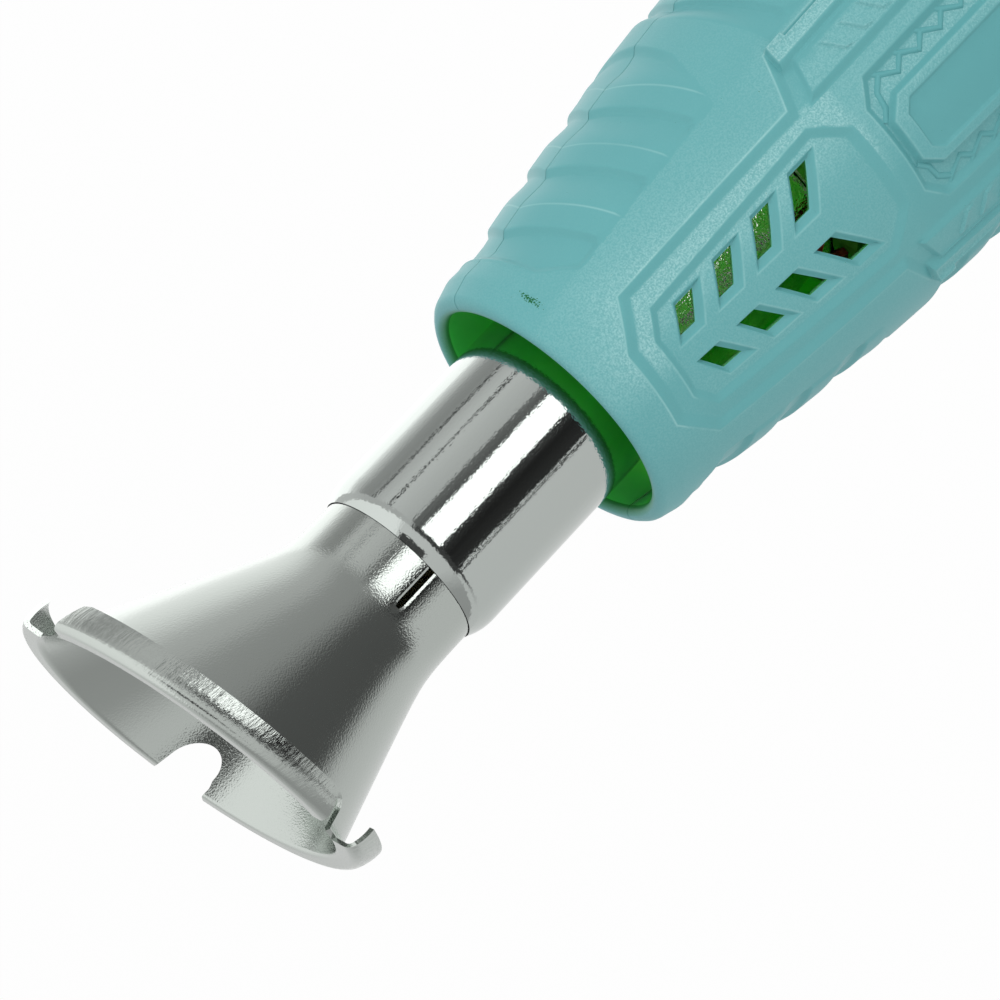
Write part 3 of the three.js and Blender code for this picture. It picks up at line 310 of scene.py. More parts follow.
forms = {}
forms["first step"] = [
    panel([(5.0, 14.6), (8.8, 31), (60, 30), (63, 10)], 1.7, [1.7, 1.4, 3], 3, -0.5,
          [(4.6, -17.2), (8.6, -32.6), (60, -31), (63, -10)]),
    panel([(29.1, 1), (39, 46.2), (115, 46.2), (121, 20)], 1.5, [1.4, 1, 2], 2, -0.5)]
forms["second step"] = [
    panel([(8.2, 11.3), (10.3, 20.8), (35.8, 23.8), (39.6, 14.5)], 1.0, [1.1, 1.25, 1.2], 1.4, -0.5,
          [(7.9, -13.6), (9.9, -23.4), (35.8, -25.6), (39.6, -14.5)], crest=[0, 1, 7])]
forms["tread recess"] = [
    panel([(41.8, 14.8), (44.2, 22.3), (109.6, 22.3), (112, 14.8)], 1.0, [1, 1, 1], 1.0, -0.7)]
forms["plaque"] = [
    panel([(42.9, 7.5), (45.5, 13.5), (84.3, 13.5), (86.9, 7.5)], 0.6, [0.6, 0.7, 0.6], 0.6, 0.9)]
forms["plaque floor"] = [
    panel([(45.0, 5.8), (46.4, 9.2), (83.4, 9.2), (84.8, 5.8)], 0.4, [0.4, 0.4, 0.4], 0.4, -0.3)]
print("steps of the vent panel and the grip:", list(forms))

# %% Terraces with their teeth, and the raised arms beside them
forms["terrace"] = [
    field(corners, [0.6, 0.5, 1.2, 1.05], 0.5)
    for corners in both([(38.0, 26.2), (40.3, 39.5), (112, 39.5), (112, 26.2)])]
forms["tooth"] = [
    field([(back + shift, angle) for shift, angle in tooth], [0.35, 0.4, 1.6, 0.4], 0.35, crest=[0])
    for tooth in both([(0, 36.6), (1.7, 29.4), (3.6, 29.4), (1.9, 36.6)])
    for back in np.arange(43.4, 104, 3.1)]
forms["arm"] = [
    field(corners, [0.4, 0.25, 0.5, 1.3], 0.95)
    for half in ([(38.6, 37.4), (39.2, 46.6), (42.2, 46.6), (43.2, 37.4)],
                 [(39.6, 37.4), (40.6, 45.2), (114, 45.2), (114, 37.4)])
    for corners in both(half)]
print({name: len(group) for name, group in forms.items()})

# %% [markdown]
# ## Ribs for the thumb
# Ribs run across both spines, with a steep front and a long gentle back, so that a thumb is held.
# They lie in a zone that is sunk a little and fade out at its border, as if the zone had been cut
# out of a ribbed block. So a rib's height is multiplied by how far inside the zone a point lies.

# %% Rib zones and ribs
RIB_SLANT = 0.0715              # millimetres rearward for each degree away from the spine
RIB_LENGTH, RIB_PITCH = 8.1, 8.2


def rib(front):
    """Corners and slopes of one rib, which runs past the spine and under the border of its zone."""
    lead = [(front - 10 * RIB_SLANT, 100), (front + 50 * RIB_SLANT, 40)]
    trail = [(back + RIB_LENGTH, angle) for back, angle in reversed(lead)]
    return [field(corners, [0.9, 0.5, 4.2, 0.5], 0.6, crest=[2]) for corners in both(lead + trail)]


zone = both([(5.4, 100), (5.8, 60), (8.7, 46.4), (31.6, 47.5), (34.9, 72), (35.6, 100)])
grip = both([(38.3, 100), (41, 48), (112, 48), (112, 100)])
forms["rib zone"] = [field(corners, 1.1, -0.45) for corners in zone]
forms["rear grip"] = [field(corners, [3.0, 1.2, 3.0, 0.5], -0.35) for corners in grip]
forms["zone hollow"] = [field(corners, [2, 6, 10, 6, 2, 0.5], -0.5) for corners in zone]
forms["grip hollow"] = [field(corners, [3, 9, 6, 0.5], -0.75) for corners in grip]
forms["collar"] = [field(corners, [0.5, 9, 2.4, 0.5], 0.4)
                   for corners in both([(-2, 100), (-2, 48), (5.4, 48), (5.4, 100)])]
forms["front rib"] = sum([rib(8.95 + k * RIB_PITCH) for k in range(3)], [])
forms["rear rib"] = sum([rib(41.3 + k * RIB_PITCH) for k in range(8)], [])
rib_zones = {"front rib": "rib zone", "rear rib": "rear grip"}
print(len(forms["front rib"]), "front ribs and", len(forms["rear rib"]), "rear ribs on one half")

# %% [markdown]
# ## Openings
# Hot air tools breathe through slanted windows beside the heater. Each is sunk through a sloped
# edge, which is wide on two sides, so that the mould can close there. The halves also leave room
# for the switch, the cord bush and, on the far side, the screw heads.

# %% Windows of the vent panel
VENT_ROWS = [([1.0, 0.95, 0.5, 0.45], [0, 1]),      # upper row: width of each slope, and edges with a painted highlight
             ([0.3, 0.7, 1.0, 0.5], [1, 2])]        # lower row
forms["vent"] = []
for k in range(4):
    quad = [(11.1 + 5.72 * k, 5.7), (13.25 + 5.72 * k, 5.7),
            (15.4 + 6.1 * k, 14.8 + 0.82 * k), (12.85 + 6.1 * k, 14.8 + 0.82 * k)]
    for corners, (slopes, crest) in zip(both(quad), VENT_ROWS):
        mouth = [(back, flat / DEGREE) for back, flat in outline(field(corners, slopes), -1)]
        forms["vent"].append(field(mouth, slopes, -0.6, crest))
print(len(forms["vent"]), "windows on each half")

# %% Openings for the switch on the top spine, the cord bush on the lower one, and the screws
SWITCH_Z, PAD_TOP = 49.8, 25.04                         # level of the switch, and height of its flat seat
SWITCH_BACK = BODY_LENGTH - SWITCH_Z
GLAND_BACK, GLAND_HALF, GLAND_ANGLE = 153, 4.5, 11      # the bush's middle, and half its size both ways
HEAD_BORE, SCREW_SEAT = 3.0, 9.0                        # radius and floor of the hole for a screw's head
SCREWS = [(16.94, 45), (-16.94, 45), (18.59, 112), (-18.59, 112)]     # x and distance behind the rim
ROUND = np.linspace(0, 2 * math.pi, 16, endpoint=False)


def top_field(half_length, low_angle, width):
    """A field across the top spine, round the switch."""
    front, rear = SWITCH_BACK - half_length, SWITCH_BACK + half_length
    return field([(front, low_angle), (front, 100), (rear, 100), (rear, low_angle)], width)


pad, switch_hole = top_field(16.7, 70.8, 0.6), top_field(11.5, 76.3, 0.01)
gland_hole = field([(GLAND_BACK + GLAND_HALF * math.cos(a), -90 + GLAND_ANGLE * math.sin(a)) for a in ROUND],
                   0.01)
screw_holes = []
for x, back in SCREWS:
    rim = [(back + HEAD_BORE * math.sin(a), x + HEAD_BORE * math.cos(a)) for a in ROUND]
    angles = [math.degrees(math.asin(v / body_radius(np.array([b]))[0])) for b, v in rim]
    screw_holes.append(field([(b, angle) for (b, _), angle in zip(rim, angles)], 0.01))
print(len(screw_holes), "screw holes in the far half")

# %% [markdown]
# ## Heights, grit and painted highlights
# One function adds up all steps at a point. Two more tell it how gritty the paint is there, and so
# how much painted sheen pales it, from the kind of field the point lies on, and how near it is to a
# crest, which gets a painted highlight.

# %% Distance from the crests
EDGE = 0.17                     # half width of the painted highlight line along a crest


def crest_share(form):
    """Where on its slope the upper edge of a field lies: 0 for a sunk one, 1 for a raised one."""
    return 0 if form["height"] < 0 else 1


def crest_distance(group, flat):
    """Distance from the upper edge of a group of fields, taken as one form unless only some edges get a
    painted highlight.
    """
    gaps = []
    for form in group:
        past = reach(form, flat) - crest_share(form) * form["width"]
        if form["crest"]:
            gaps.append(np.where(reach(form, flat).min(1) > -EDGE, np.abs(past[:, form["crest"]]).min(1), 9))
        else:
            gaps.append(past.min(1))
    return np.min(gaps, axis=0) if group[0]["crest"] else np.abs(np.max(gaps, axis=0))


in_window = np.array([[12.9, 8 * DEGREE]])
# A window's crest carries a painted highlight, not wear.
print("from a place in a window to a worn edge:", crest_distance(forms["vent"], in_window).round(2), "mm")

# %% Grit of the paint, which also sets how much painted sheen pales it
LEVEL = 0.98                    # share of a slope past which a field counts as level
GRIT_AND_SHEEN = {"vent": 0.05, "tread recess": 0.6, "plaque": 0.45, "plaque floor": 0.0, "terrace": 0.45, "arm": 0.8,
        "rib zone": 0.04, "rear grip": 0.04}


def grit_and_sheen(share, flat):
    """How gritty the paint is at each point, and so how much painted sheen pales it: most on the upper lands,
    which face the light, least on slopes and sunk floors.
    """
    first, second = share["first step"], share["second step"]
    back, angle = flat[:, 0], flat[:, 1] / DEGREE
    aside = np.abs(angle)
    upper = np.clip((angle + 6) / 14, 0.12, 1)                      # the lower part of the side is smoother and gets less painted sheen, being away from the light
    fading = np.clip(1.25 - back / 32, 0.25, 1)                     # and so is the rear, with less painted sheen
    beside = np.exp(-np.clip(-first, 0, 9) / 2.6) * (aside < 47)    # lands round the vent panel
    grain = np.where(first < 0, 0.14 + 0.8 * beside * fading * upper, 0.05)
    grain = np.where(first > LEVEL, 0.9 * upper, grain)
    strap, flank = (aside < 28) & (back > 40), (aside > 28) & (back > 34)
    grain = np.where((first > LEVEL) & strap, 0.4 * upper, grain)
    grain = np.where((first > LEVEL) & flank, 0.15, grain)
    grain = np.where(second > 0, 0.05, grain)
    grain = np.where(second > LEVEL, 0.2 + 0.5 * upper * np.clip((aside - 6) / 12, 0, 1), grain)
    for name, most in GRIT_AND_SHEEN.items():
        level = np.where(share[name] > LEVEL, most * np.maximum(upper, 0.4), 0.03)
        grain = np.where(share[name] > 0, level, grain)
    return grain


print("grittiest fields:", sorted(GRIT_AND_SHEEN, key=GRIT_AND_SHEEN.get)[-2:])

# %% Height, grit with its painted sheen, and painted crest highlight of any point on the pattern
# Strength of the painted highlight along the crests of each group of fields.
CREST_HIGHLIGHT = {"first step": 1.0, "second step": 0.6, "vent": 0.5, "front rib": 0.8, "rear rib": 1.0, "plaque": 0.4,
        "plaque floor": 0.3, "tread recess": 0.5, "arm": 0.6, "tooth": 0.3}


def relief(flat):
    """Height above the plain form, how gritty the paint is, with its painted sheen, and how strong the
    painted highlight along a crest, at each point.
    """
    share = {name: np.max([inside(form, flat) for form in group], axis=0) for name, group in forms.items()}
    rise = {name: rounded(value) for name, value in share.items()}
    for ribs, zone in rib_zones.items():
        rise[ribs] = rise[ribs] * rise[zone]
    height = sum(group[0]["height"] * rise[name] for name, group in forms.items())
    grain = grit_and_sheen(share, flat)
    # Painted crest highlights are weaker on the lower side, away from the light from above.
    edge, toward_light = np.zeros(len(flat)), np.where(flat[:, 1] > -20 * DEGREE, 1.0, 0.3)
    for name, weight in CREST_HIGHLIGHT.items():
        line = weight * toward_light * np.clip(1 - crest_distance(forms[name], flat) / EDGE, 0, 1)
        edge = np.maximum(edge, line * rise[rib_zones[name]] if name in rib_zones else line)
    return height, grain, edge


on_land = np.array([[20.0, 38 * DEGREE]])
print("heights in a window and on a land:", relief(np.concatenate([in_window, on_land]))[0].round(2))

# %% [markdown]
# ## From the flat pattern to a shell
# The edges of all fields become lines on the pattern, with loose points between them, and a
# Delaunay triangulation joins them, so that every crease of the moulding lies on mesh edges.
# Then the pattern is rolled up twice, as outer and inner skin, and the open edges are joined.
# A remesh or a plain grid would need millions of faces for edges as clean as these.

# %% Triangulate the pattern
SPACING, LINE_STEP = 1.25, 1.0  # between loose points, and along lines
HALF = 90 * DEGREE
COLLAR = 2.9                    # width of the collar, which tapers to the rim
RIM_LINES = [0.12, 0.3, 0.5, 0.75, 1.0, COLLAR - 0.2, COLLAR, COLLAR + 0.2]


def divided(corners, spacing, closed=True):
    """Points along a line of corners, no further apart than a spacing."""
    ends = list(corners) + ([corners[0]] if closed else [])
    points = []
    for start, end in zip(ends, ends[1:]):
        pieces = max(1, math.ceil(math.dist(start, end) / spacing))
        points += [np.array(start) + (np.array(end) - start) * k / pieces for k in range(pieces)]
    return points if closed else points + [np.array(ends[-1])]


def pattern_lines(holes):
    """Every line that the mesh has to follow, with whether it is closed."""
    border = [(0, -HALF), (0, HALF), (SHELL_REAR, HALF), (SHELL_REAR, -HALF)]
    lines = [(divided(border, LINE_STEP), True)]
    for back in RIM_LINES:
        lines.append((divided([(back, -HALF), (back, HALF)], LINE_STEP, False), False))
    for form in sum(forms.values(), []):
        for share in (0, 0.2, 0.5, 0.8, 1):
            lines.append((divided(outline(form, share), LINE_STEP), True))
        for shift in (-EDGE, EDGE):
            lines.append((divided(outline(form, crest_share(form), shift), LINE_STEP), True))
    lines += [(divided(outline(pad, share), 1.2), True) for share in (0, 0.3, 0.7, 1)]
    return lines + [(divided(form["corner"], 0.8), True) for form in holes]


def is_open(flat, holes):
    """Which points of the flat pattern lie in an opening."""
    cut = [inside(form, flat) > 1 for form in forms["vent"]] + [inside(form, flat) > 0 for form in holes]
    return np.any(cut, axis=0)


print(len(pattern_lines([])), "lines on the pattern of one half")

# %% Join the lines and loose points, and drop what lies in openings
def triangles(points, edges, bounds, in_hole):
    """Points and triangles inside the bounds of a flat pattern, without its openings."""
    corners, _, faces, *_ = delaunay_2d_cdt([Vector(p) for p in points], edges, [], 0, 1e-4, False)
    corners, faces = np.array(corners), np.array(faces)
    middle = corners[faces].mean(1)
    kept = np.all((middle > bounds[0]) & (middle < bounds[1]), axis=1) & ~in_hole(middle)
    used, faces = np.unique(faces[kept], return_inverse=True)
    return corners[used], faces.reshape(-1, 3)


def pattern(holes):
    """Points and triangles of one half, flat."""
    points, edges = [], []
    for line, closed in pattern_lines(holes):
        first = len(points)
        points += line
        edges += [(k, k + 1) for k in range(first, len(points) - 1)]
        edges += [(len(points) - 1, first)] if closed else []
    near_line = KDTree(len(points))
    for k, point in enumerate(points):
        near_line.insert((*point, 0), k)
    near_line.balance()
    for row, back in enumerate(np.arange(2, SHELL_REAR - 0.5, SPACING)):
        for flat in np.arange(-HALF + SPACING / 2 * (1 + row % 2), HALF, SPACING):
            if near_line.find((back, flat, 0))[2] > 0.5 * SPACING:
                points.append(np.array((back, flat)))
    return triangles(points, edges, [(0, -HALF), (SHELL_REAR, HALF)], lambda flat: is_open(flat, holes))


def open_sides(faces, skip):
    """Edges with a triangle on one side only, apart from those to skip."""
    loops = np.concatenate([faces[:, [0, 1]], faces[:, [1, 2]], faces[:, [2, 0]]])
    pairs = {tuple(pair) for pair in loops.tolist()}
    return sorted((a, b) for a, b in pairs if (b, a) not in pairs and not skip(a, b))


# %% Roll a half up: outer and inner skin, with a rolled rim and a flat seat for the switch
PARTING = 0.06                  # each half's edge from the parting plane
LIP = 1.0                       # radius of the rolled rim
RIM_TAPER = 0.25                # of the collar towards the rim
VENT_ANGLE, VENT_FRONT, VENT_BACK = 20, 8, 37       # area whose openings have bare green walls


def roll_up(flat, side, height):
    """Places of a skin in millimetres, rolled round the tool's axis. side -1 is the near half."""
    back, angle = flat[:, 0], flat[:, 1] / DEGREE
    bend = np.radians(90 * np.clip(1 - back / LIP, 0, 1))
    outer = height is not None
    radius = body_radius(back) - LIP + (1 if outer else -1) * LIP * np.cos(bend)
    if outer:
        taper = RIM_TAPER * np.clip(1 - back / COLLAR, 0, 1)
        radius = radius + (height - taper) * np.cos(bend)
        flat_seat = PAD_TOP / np.sin(np.radians(np.clip(angle, 45, 90)))
        radius = radius + (flat_seat - radius) * rounded(inside(pad, flat))
    back = np.where(back < LIP, LIP - LIP * np.sin(bend), back)
    theta = np.radians(angle * (1 - np.degrees(np.arcsin(PARTING / radius)) / 90))
    return np.stack([radius * np.sin(theta), side * radius * np.cos(theta), BODY_LENGTH - back], 1)


def half_shell(side, holes):
    """Corners, faces, finish of each face, and the values of each corner that the paint reads."""
    flat, faces = pattern(holes)
    height, grain, edge = relief(flat)
    corners = np.concatenate([roll_up(flat, side, height), roll_up(flat, side, None)])
    count = len(flat)
    bare = open_sides(faces, lambda a, b: max(flat[a, 0], flat[b, 0]) < 1e-6)
    walls = [(b, a, a + count, b + count) for a, b in bare]
    in_vents = [int(abs(flat[a, 1]) < VENT_ANGLE * DEGREE and VENT_FRONT < flat[a, 0] < VENT_BACK)
                for a, _ in bare]
    shell = faces.tolist() + (faces[:, ::-1] + count).tolist() + walls
    on_rim = flat[faces].mean(1)[:, 0] < LIP
    bare_inside = np.concatenate([np.zeros(count), np.clip(flat[:, 0] / LIP + 0.1, 0, 1)])
    finish = [0] * len(faces) + (~on_rim).astype(int).tolist() + in_vents
    return corners, shell, finish, {"grain": np.tile(grain, 2), "edge": np.tile(edge, 2), "bare": bare_inside}


print("foremost place of the near half:", roll_up(np.zeros((1, 2)), -1, np.zeros(1)).round(2)[0])

# %% [markdown]
# ## Making a piece
# Every piece ends the same way: its corners become a mesh at the origin, doubles are merged so
# that seams close, the faces are turned outwards and its finishes go on; then the piece is hung
# under the body that carries it, and the solids it stands for are hidden.

# %% Two functions that finish a piece
def make_mesh(name, corners, faces, materials, finish=None, values=()):
    """A closed mesh from places in millimetres, with values stored on its corners."""
    mesh = bpy.data.meshes.new(name)
    mesh.from_pydata((np.asarray(corners, float) * MM).tolist(), [], [list(face) for face in faces])
    for label, data in dict(values).items():
        mesh.attributes.new(label, "FLOAT", "POINT").data.foreach_set("value", np.asarray(data, np.float32))
    for material in materials:
        mesh.materials.append(material)
    if finish is not None:
        mesh.polygons.foreach_set("material_index", finish)
    work = bmesh.new()
    work.from_mesh(mesh)
    bmesh.ops.remove_doubles(work, verts=work.verts, dist=1e-6)
    bmesh.ops.dissolve_degenerate(work, edges=work.edges, dist=1e-7)
    bmesh.ops.recalc_face_normals(work, faces=work.faces)
    work.to_mesh(mesh)
    work.free()
    return mesh


def settle(name, mesh, body, replaces, sharp=35):
    """An object for a mesh, shaded smooth up to an angle, and known to the frame."""
    piece = bpy.data.objects.new(name, mesh)
    bpy.context.scene.collection.objects.link(piece)
    mesh.shade_smooth()
    mesh.set_sharp_from_angle(angle=math.radians(sharp))
    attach(piece, body)
    if replaces:
        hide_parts(*replaces)
    print(f"{name}: {len(mesh.vertices)} corners, {len(mesh.polygons)} faces")


# %% [markdown]
# ## Inside the halves
# Ribs round the inside trap the fan duct and the plate that carries the tube, and hollow columns
# take the screws. They are closed forms of their own that end in the middle of the wall.

# %% Half rings
def lathe_faces(rows, turns, closed):
    """Faces between rows of corners that go round."""
    last = rows if closed else rows - 1
    return [(k * turns + i, k * turns + (i + 1) % turns, (k + 1) % rows * turns + (i + 1) % turns,
             (k + 1) % rows * turns + i) for k in range(last) for i in range(turns)]


def half_ring(side, inner, outer, low, high):
    """Half of a square-edged ring: corners and faces."""
    turns = np.radians(np.linspace(-89.5, 89.5, 49))
    corners = [(r * math.sin(a), side * r * math.cos(a), z)
               for a in turns for r, z in ((inner, low), (outer, low), (outer, high), (inner, high))]
    last = 4 * (len(turns) - 1)
    ends = [(0, 1, 2, 3), (last + 3, last + 2, last + 1, last)]
    return corners, lathe_faces(len(turns), 4, False) + ends


print("faces of a half ring:", len(half_ring(1, 19, 21, 0, 1)[1]))

# %% Screw columns, and all that stands inside a half
INTO_WALL, RING_DEPTH = 1.7, 2.2    # inner forms end this far inside the outer form, and ribs stand this high
RING_LEVELS = [(93.0, 94.6), (128.2, 129.8)]            # of the ribs that hold the duct and the plate
PILOT, BLIND_END, POST, SLEEVE = 1.5, 8.3, 2.8, 4.3     # of the columns: hole, its end, both outsides


def column(side, x, back, line, closed):
    """A column round a screw, from (radius, height) pairs; no height means up into the wall."""
    skin = float(body_radius(np.array([back]))[0]) - INTO_WALL
    corners = []
    for r, y in line:
        for a in np.linspace(0, 2 * math.pi, 24, endpoint=False):
            px = x + r * math.cos(a)
            top = math.sqrt(max(0, skin ** 2 - px * px))
            corners.append((px, side * (top if y is None else y), BODY_LENGTH - back + r * math.sin(a)))
    return corners, lathe_faces(len(line), 24, closed)


def inner_forms(side):
    """Everything that stands on the inside of a half."""
    made = []
    for low, high in RING_LEVELS:
        radius = float(body_radius(np.array([BODY_LENGTH - (low + high) / 2]))[0])
        made.append(half_ring(side, radius - WALL - RING_DEPTH, radius - INTO_WALL, low, high))
    blind = [(0, BLIND_END), (PILOT, BLIND_END), (PILOT, PARTING), (POST, PARTING), (POST, None), (0, None)]
    stepped = [(PILOT, PARTING), (SLEEVE, PARTING), (SLEEVE, None), (HEAD_BORE, None),
               (HEAD_BORE, SCREW_SEAT), (PILOT, SCREW_SEAT)]
    for x, back in SCREWS:
        made.append(column(side, x, back, blind, False) if side < 0 else column(side, x, back, stepped, True))
    return made


print(len(inner_forms(-1)), "forms inside each half")

# %% Both halves of the housing
HALVES = [("housing_half_near", "shell_near", -1, []), ("housing_half_far", "shell_far", 1, screw_holes)]
for name, node, side, own_holes in HALVES:
    corners, faces, finish, values = half_shell(side, [switch_hole, gland_hole] + own_holes)
    for more, more_faces in inner_forms(side):
        faces = faces + [tuple(i + len(corners) for i in face) for face in more_faces]
        finish = finish + [1] * len(more_faces)
        corners = np.concatenate([corners, np.array(more)])
    values = {label: np.pad(data, (0, len(corners) - len(data))) for label, data in values.items()}
    shell = make_mesh(name, corners, faces, [teal_paint, green_abs], finish, values)
    settle(name, shell, "housing", [node], 50)

# %% [markdown]
# ## Trees of nodes
# What repeats or follows a path is made by Geometry Nodes: tread ridges, intake slots, the
# heating coil and the screws. Each tree gets named inputs for its sizes. It runs once on a base
# mesh, and what it makes is kept as a plain mesh, because an export drops instances.

# %% Start and run a tree
def node_tree(name, sizes):
    """A tree with geometry going in and out and one input per size. Returns it and its inputs."""
    tree = bpy.data.node_groups.new(name, "GeometryNodeTree")
    tree.interface.new_socket("Geometry", in_out="INPUT", socket_type="NodeSocketGeometry")
    for label, value in sizes.items():
        kind = "NodeSocketInt" if isinstance(value, int) else "NodeSocketFloat"
        tree.interface.new_socket(label, in_out="INPUT", socket_type=kind)
    tree.interface.new_socket("Geometry", in_out="OUTPUT", socket_type="NodeSocketGeometry")
    return tree, add_node(tree, "NodeGroupInput").outputs


def grow(tree, base, sizes, shape, material):
    """Ends a tree with real geometry in a finish, runs it on a base mesh, and keeps the result."""
    real = add_node(tree, "GeometryNodeRealizeInstances", {"Geometry": shape})
    coat = add_node(tree, "GeometryNodeSetMaterial", {"Geometry": real.outputs[0], "Material": material})
    add_node(tree, "NodeGroupOutput", {"Geometry": coat.outputs[0]})
    holder = bpy.data.objects.new(tree.name, base)
    bpy.context.scene.collection.objects.link(holder)
    modifier = holder.modifiers.new(tree.name, "NODES")
    modifier.node_group = tree
    for socket in tree.interface.items_tree:
        if socket.name in sizes:
            modifier[socket.identifier] = sizes[socket.name]
    graph = bpy.context.evaluated_depsgraph_get()
    mesh = bpy.data.meshes.new_from_object(holder.evaluated_get(graph))
    holder.modifiers.remove(modifier)
    bpy.data.objects.remove(holder)
    return mesh


# %% [markdown]
# ## Tread ridges
# The recess round the plaque has a tread of fine zigzag ridges with spurs to its walls, which
# keep a hand from slipping. They could be drawn as a bump, but they catch the light, so a tree
# sweeps a small round along the lines, sunk in the floor up to a flat back.

# %% The lines of the tread on one half
FLOOR = -1.2                    # height of the recess floor
TOOTH = 3.45                    # along the tread
SUNK = 0.25                     # of the round below the floor, so that only a flat back shows
ZIG = 1.7                       # degrees from the middle of a row to its corners
SPUR_BACK, SPUR_OUT = -0.8, 2.4     # from a corner to the end of its spur, millimetres and degrees


def tread_lines():
    """Places on the flat pattern, and edges between them."""
    places, edges = [], []
    rows = [(17.3, 44.4, 108), (-17.3, 44.4, 108), (8.7, 88.5, 108), (0, 88.5, 108), (-8.7, 88.5, 108)]
    for middle, start, end in rows:
        out = -1 if middle < 0 else 1
        first = len(places)
        if abs(middle) > 10:
            places += [(42.9, 7.7 * out), (44.0, 11.0 * out)]
        for k in range(int((end - start) / TOOTH * 2)):
            odd = k % 2
            places.append((start + k * TOOTH / 2 - 0.2 * odd, middle + out * (ZIG if odd else -ZIG)))
        edges += [(k, k + 1) for k in range(first, len(places) - 1)]
        for k in range(first, len(places)):
            back, angle = places[k]
            if abs(angle) > abs(middle):
                places.append((back + SPUR_BACK, angle + out * SPUR_OUT))
                edges.append((k, len(places) - 1))
    return np.array([(back, angle * DEGREE) for back, angle in places]), edges


flat, edges = tread_lines()
print(len(edges), "lines of tread on one half")

# %% Sweep a round along them on both halves
lines = bpy.data.meshes.new("tread_lines")
halves = np.concatenate([roll_up(flat, side, np.full(len(flat), FLOOR - SUNK)) for side in (-1, 1)])
lines.from_pydata((halves * MM).tolist(), edges + [(a + len(flat), b + len(flat)) for a, b in edges], [])
sizes = {"Ridge": 0.44 * MM, "Sides": 16}
tree, size = node_tree("tread_ridges", sizes)
path = add_node(tree, "GeometryNodeMeshToCurve", {"Mesh": size["Geometry"]})
ridge = add_node(tree, "GeometryNodeCurvePrimitiveCircle",
                 {"Radius": size["Ridge"], "Resolution": size["Sides"]})
swept = add_node(tree, "GeometryNodeCurveToMesh",
                 {"Curve": path.outputs[0], "Profile Curve": ridge.outputs[0], "Fill Caps": True})
ridges = grow(tree, lines, sizes, swept.outputs[0], teal_paint)
settle("tread_ridges", ridges, "housing", [], 60)

# %% [markdown]
# ## The heater tube
# A plain steel tube, chromed, with a flange at its rear and a front edge drawn in to the nozzle.
# It is a body of revolution, so its outline is turned round the axis. A modifier could do that,
# but writing the rings directly leaves no seam to close.

# %% Turn outlines round the tool's axis
def turned(profile, sides):
    """Corners and faces of a closed outline of (radius, height), turned round the axis."""
    turns = np.linspace(0, 2 * math.pi, sides, endpoint=False)
    corners = [(r * math.cos(a), r * math.sin(a), z) for r, z in profile for a in turns]
    return corners, lathe_faces(len(profile), sides, True)


def arc(centre, radius, start, end, pieces=6):
    """Points on an arc in the outline's plane, angles in degrees from the outward direction."""
    angles = np.radians(np.linspace(start, end, pieces + 1))
    return [(centre[0] + radius * math.cos(a), centre[1] + radius * math.sin(a)) for a in angles]


TUBE_RADIUS, TUBE_BORE, TUBE_REAR, TUBE_FRONT, SHOULDER = 11.0, 10.2, 124.0, 204.0, 3.6
FLANGE_RADIUS, FLANGE = 13, 0.8
DRAWN_IN, DRAWN_POWER = 0.88, 2.4       # how far the front edge is drawn in, and how late
tube_line = [(TUBE_BORE, TUBE_REAR), (FLANGE_RADIUS, TUBE_REAR), (FLANGE_RADIUS, TUBE_REAR + FLANGE),
             (TUBE_RADIUS + 0.3, TUBE_REAR + FLANGE)]
tube_line += [(TUBE_RADIUS, z) for z in np.linspace(TUBE_REAR + 1.2, TUBE_FRONT - SHOULDER, 16)]
tube_line += [(TUBE_RADIUS - DRAWN_IN * u ** DRAWN_POWER, TUBE_FRONT - SHOULDER * (1 - u))
              for u in np.linspace(0.08, 1, 13)]
tube_line += [(TUBE_BORE, TUBE_FRONT - 0.5)]
tube = make_mesh("heater_tube_chromed", *turned(tube_line, 128), [bright_chrome])
settle("heater_tube_chromed", tube, "housing", ["heater_tube"])

# %% [markdown]
# ## The reflector
# A cup pressed from thin sheet: a straight neck that pushes into the tube, a bell that leans to
# one side, and a lip turned over outwards. Two slits let the lip spread, a round notch lets a
# wire out, and a split makes the neck springy. Here the sheet's middle line is turned round the
# axis on a flat pattern again, because the slits and the notch can then be cut as openings.

# %% The sheet's middle line, from the neck's end to the end of the turned lip
NECK_RADIUS, NECK_REAR, FLARE_REAR, FLARE_LENGTH, SHEET = 9.75, 190.0, 211.0, 21.4, 0.5
FLARE_SLOPE, SOFT = 0.4175, 1.3


def flare(z):
    """Distance past the start of the flare, growing softly."""
    return SOFT * np.log1p(np.exp((z - FLARE_REAR) / SOFT))


rise = np.concatenate([np.linspace(NECK_REAR, 204, 12), np.linspace(204.6, 232.4, 44)])
bell = list(zip(NECK_RADIUS + FLARE_SLOPE * flare(rise), rise))
front = arc((19.14, 232.21), 0.5, 150, 90, 5) + [(r, 232.71) for r in (19.6, 20.0)]
skirt = arc((20.45, 231.91), 0.8, 90, 16, 8) + arc((15.451, 230.477), 6.0, 14, -8, 11)
sheet_line = np.array(bell + front + skirt)
run = np.concatenate([[0], np.cumsum(np.linalg.norm(np.diff(sheet_line, axis=0), axis=1))])
front_run, skirt_run = run[len(bell) + 3], run[len(bell + front) + 8]
print("sheet is", round(run[-1], 1), "mm along, with the lip from", round(front_run, 1),
      "and its skirt from", round(skirt_run, 1))

# %% Slits, notch and split as openings of the flat sheet: run along it, degrees round it
TURN_WIDTH = math.radians(1) * 14       # width of one degree on the flat sheet
PAST_END = run[-1] + 0.5                # a little past the end of the turned lip
SLIT_BOTTOM, SLIT_DEPTH = 40.2, 1.6     # where a slit starts, and the depth of its round bottom
NOTCH_RUN, NOTCH_DEPTH = 42.4, 3.1      # where the notch's round bottom ends, and its depth


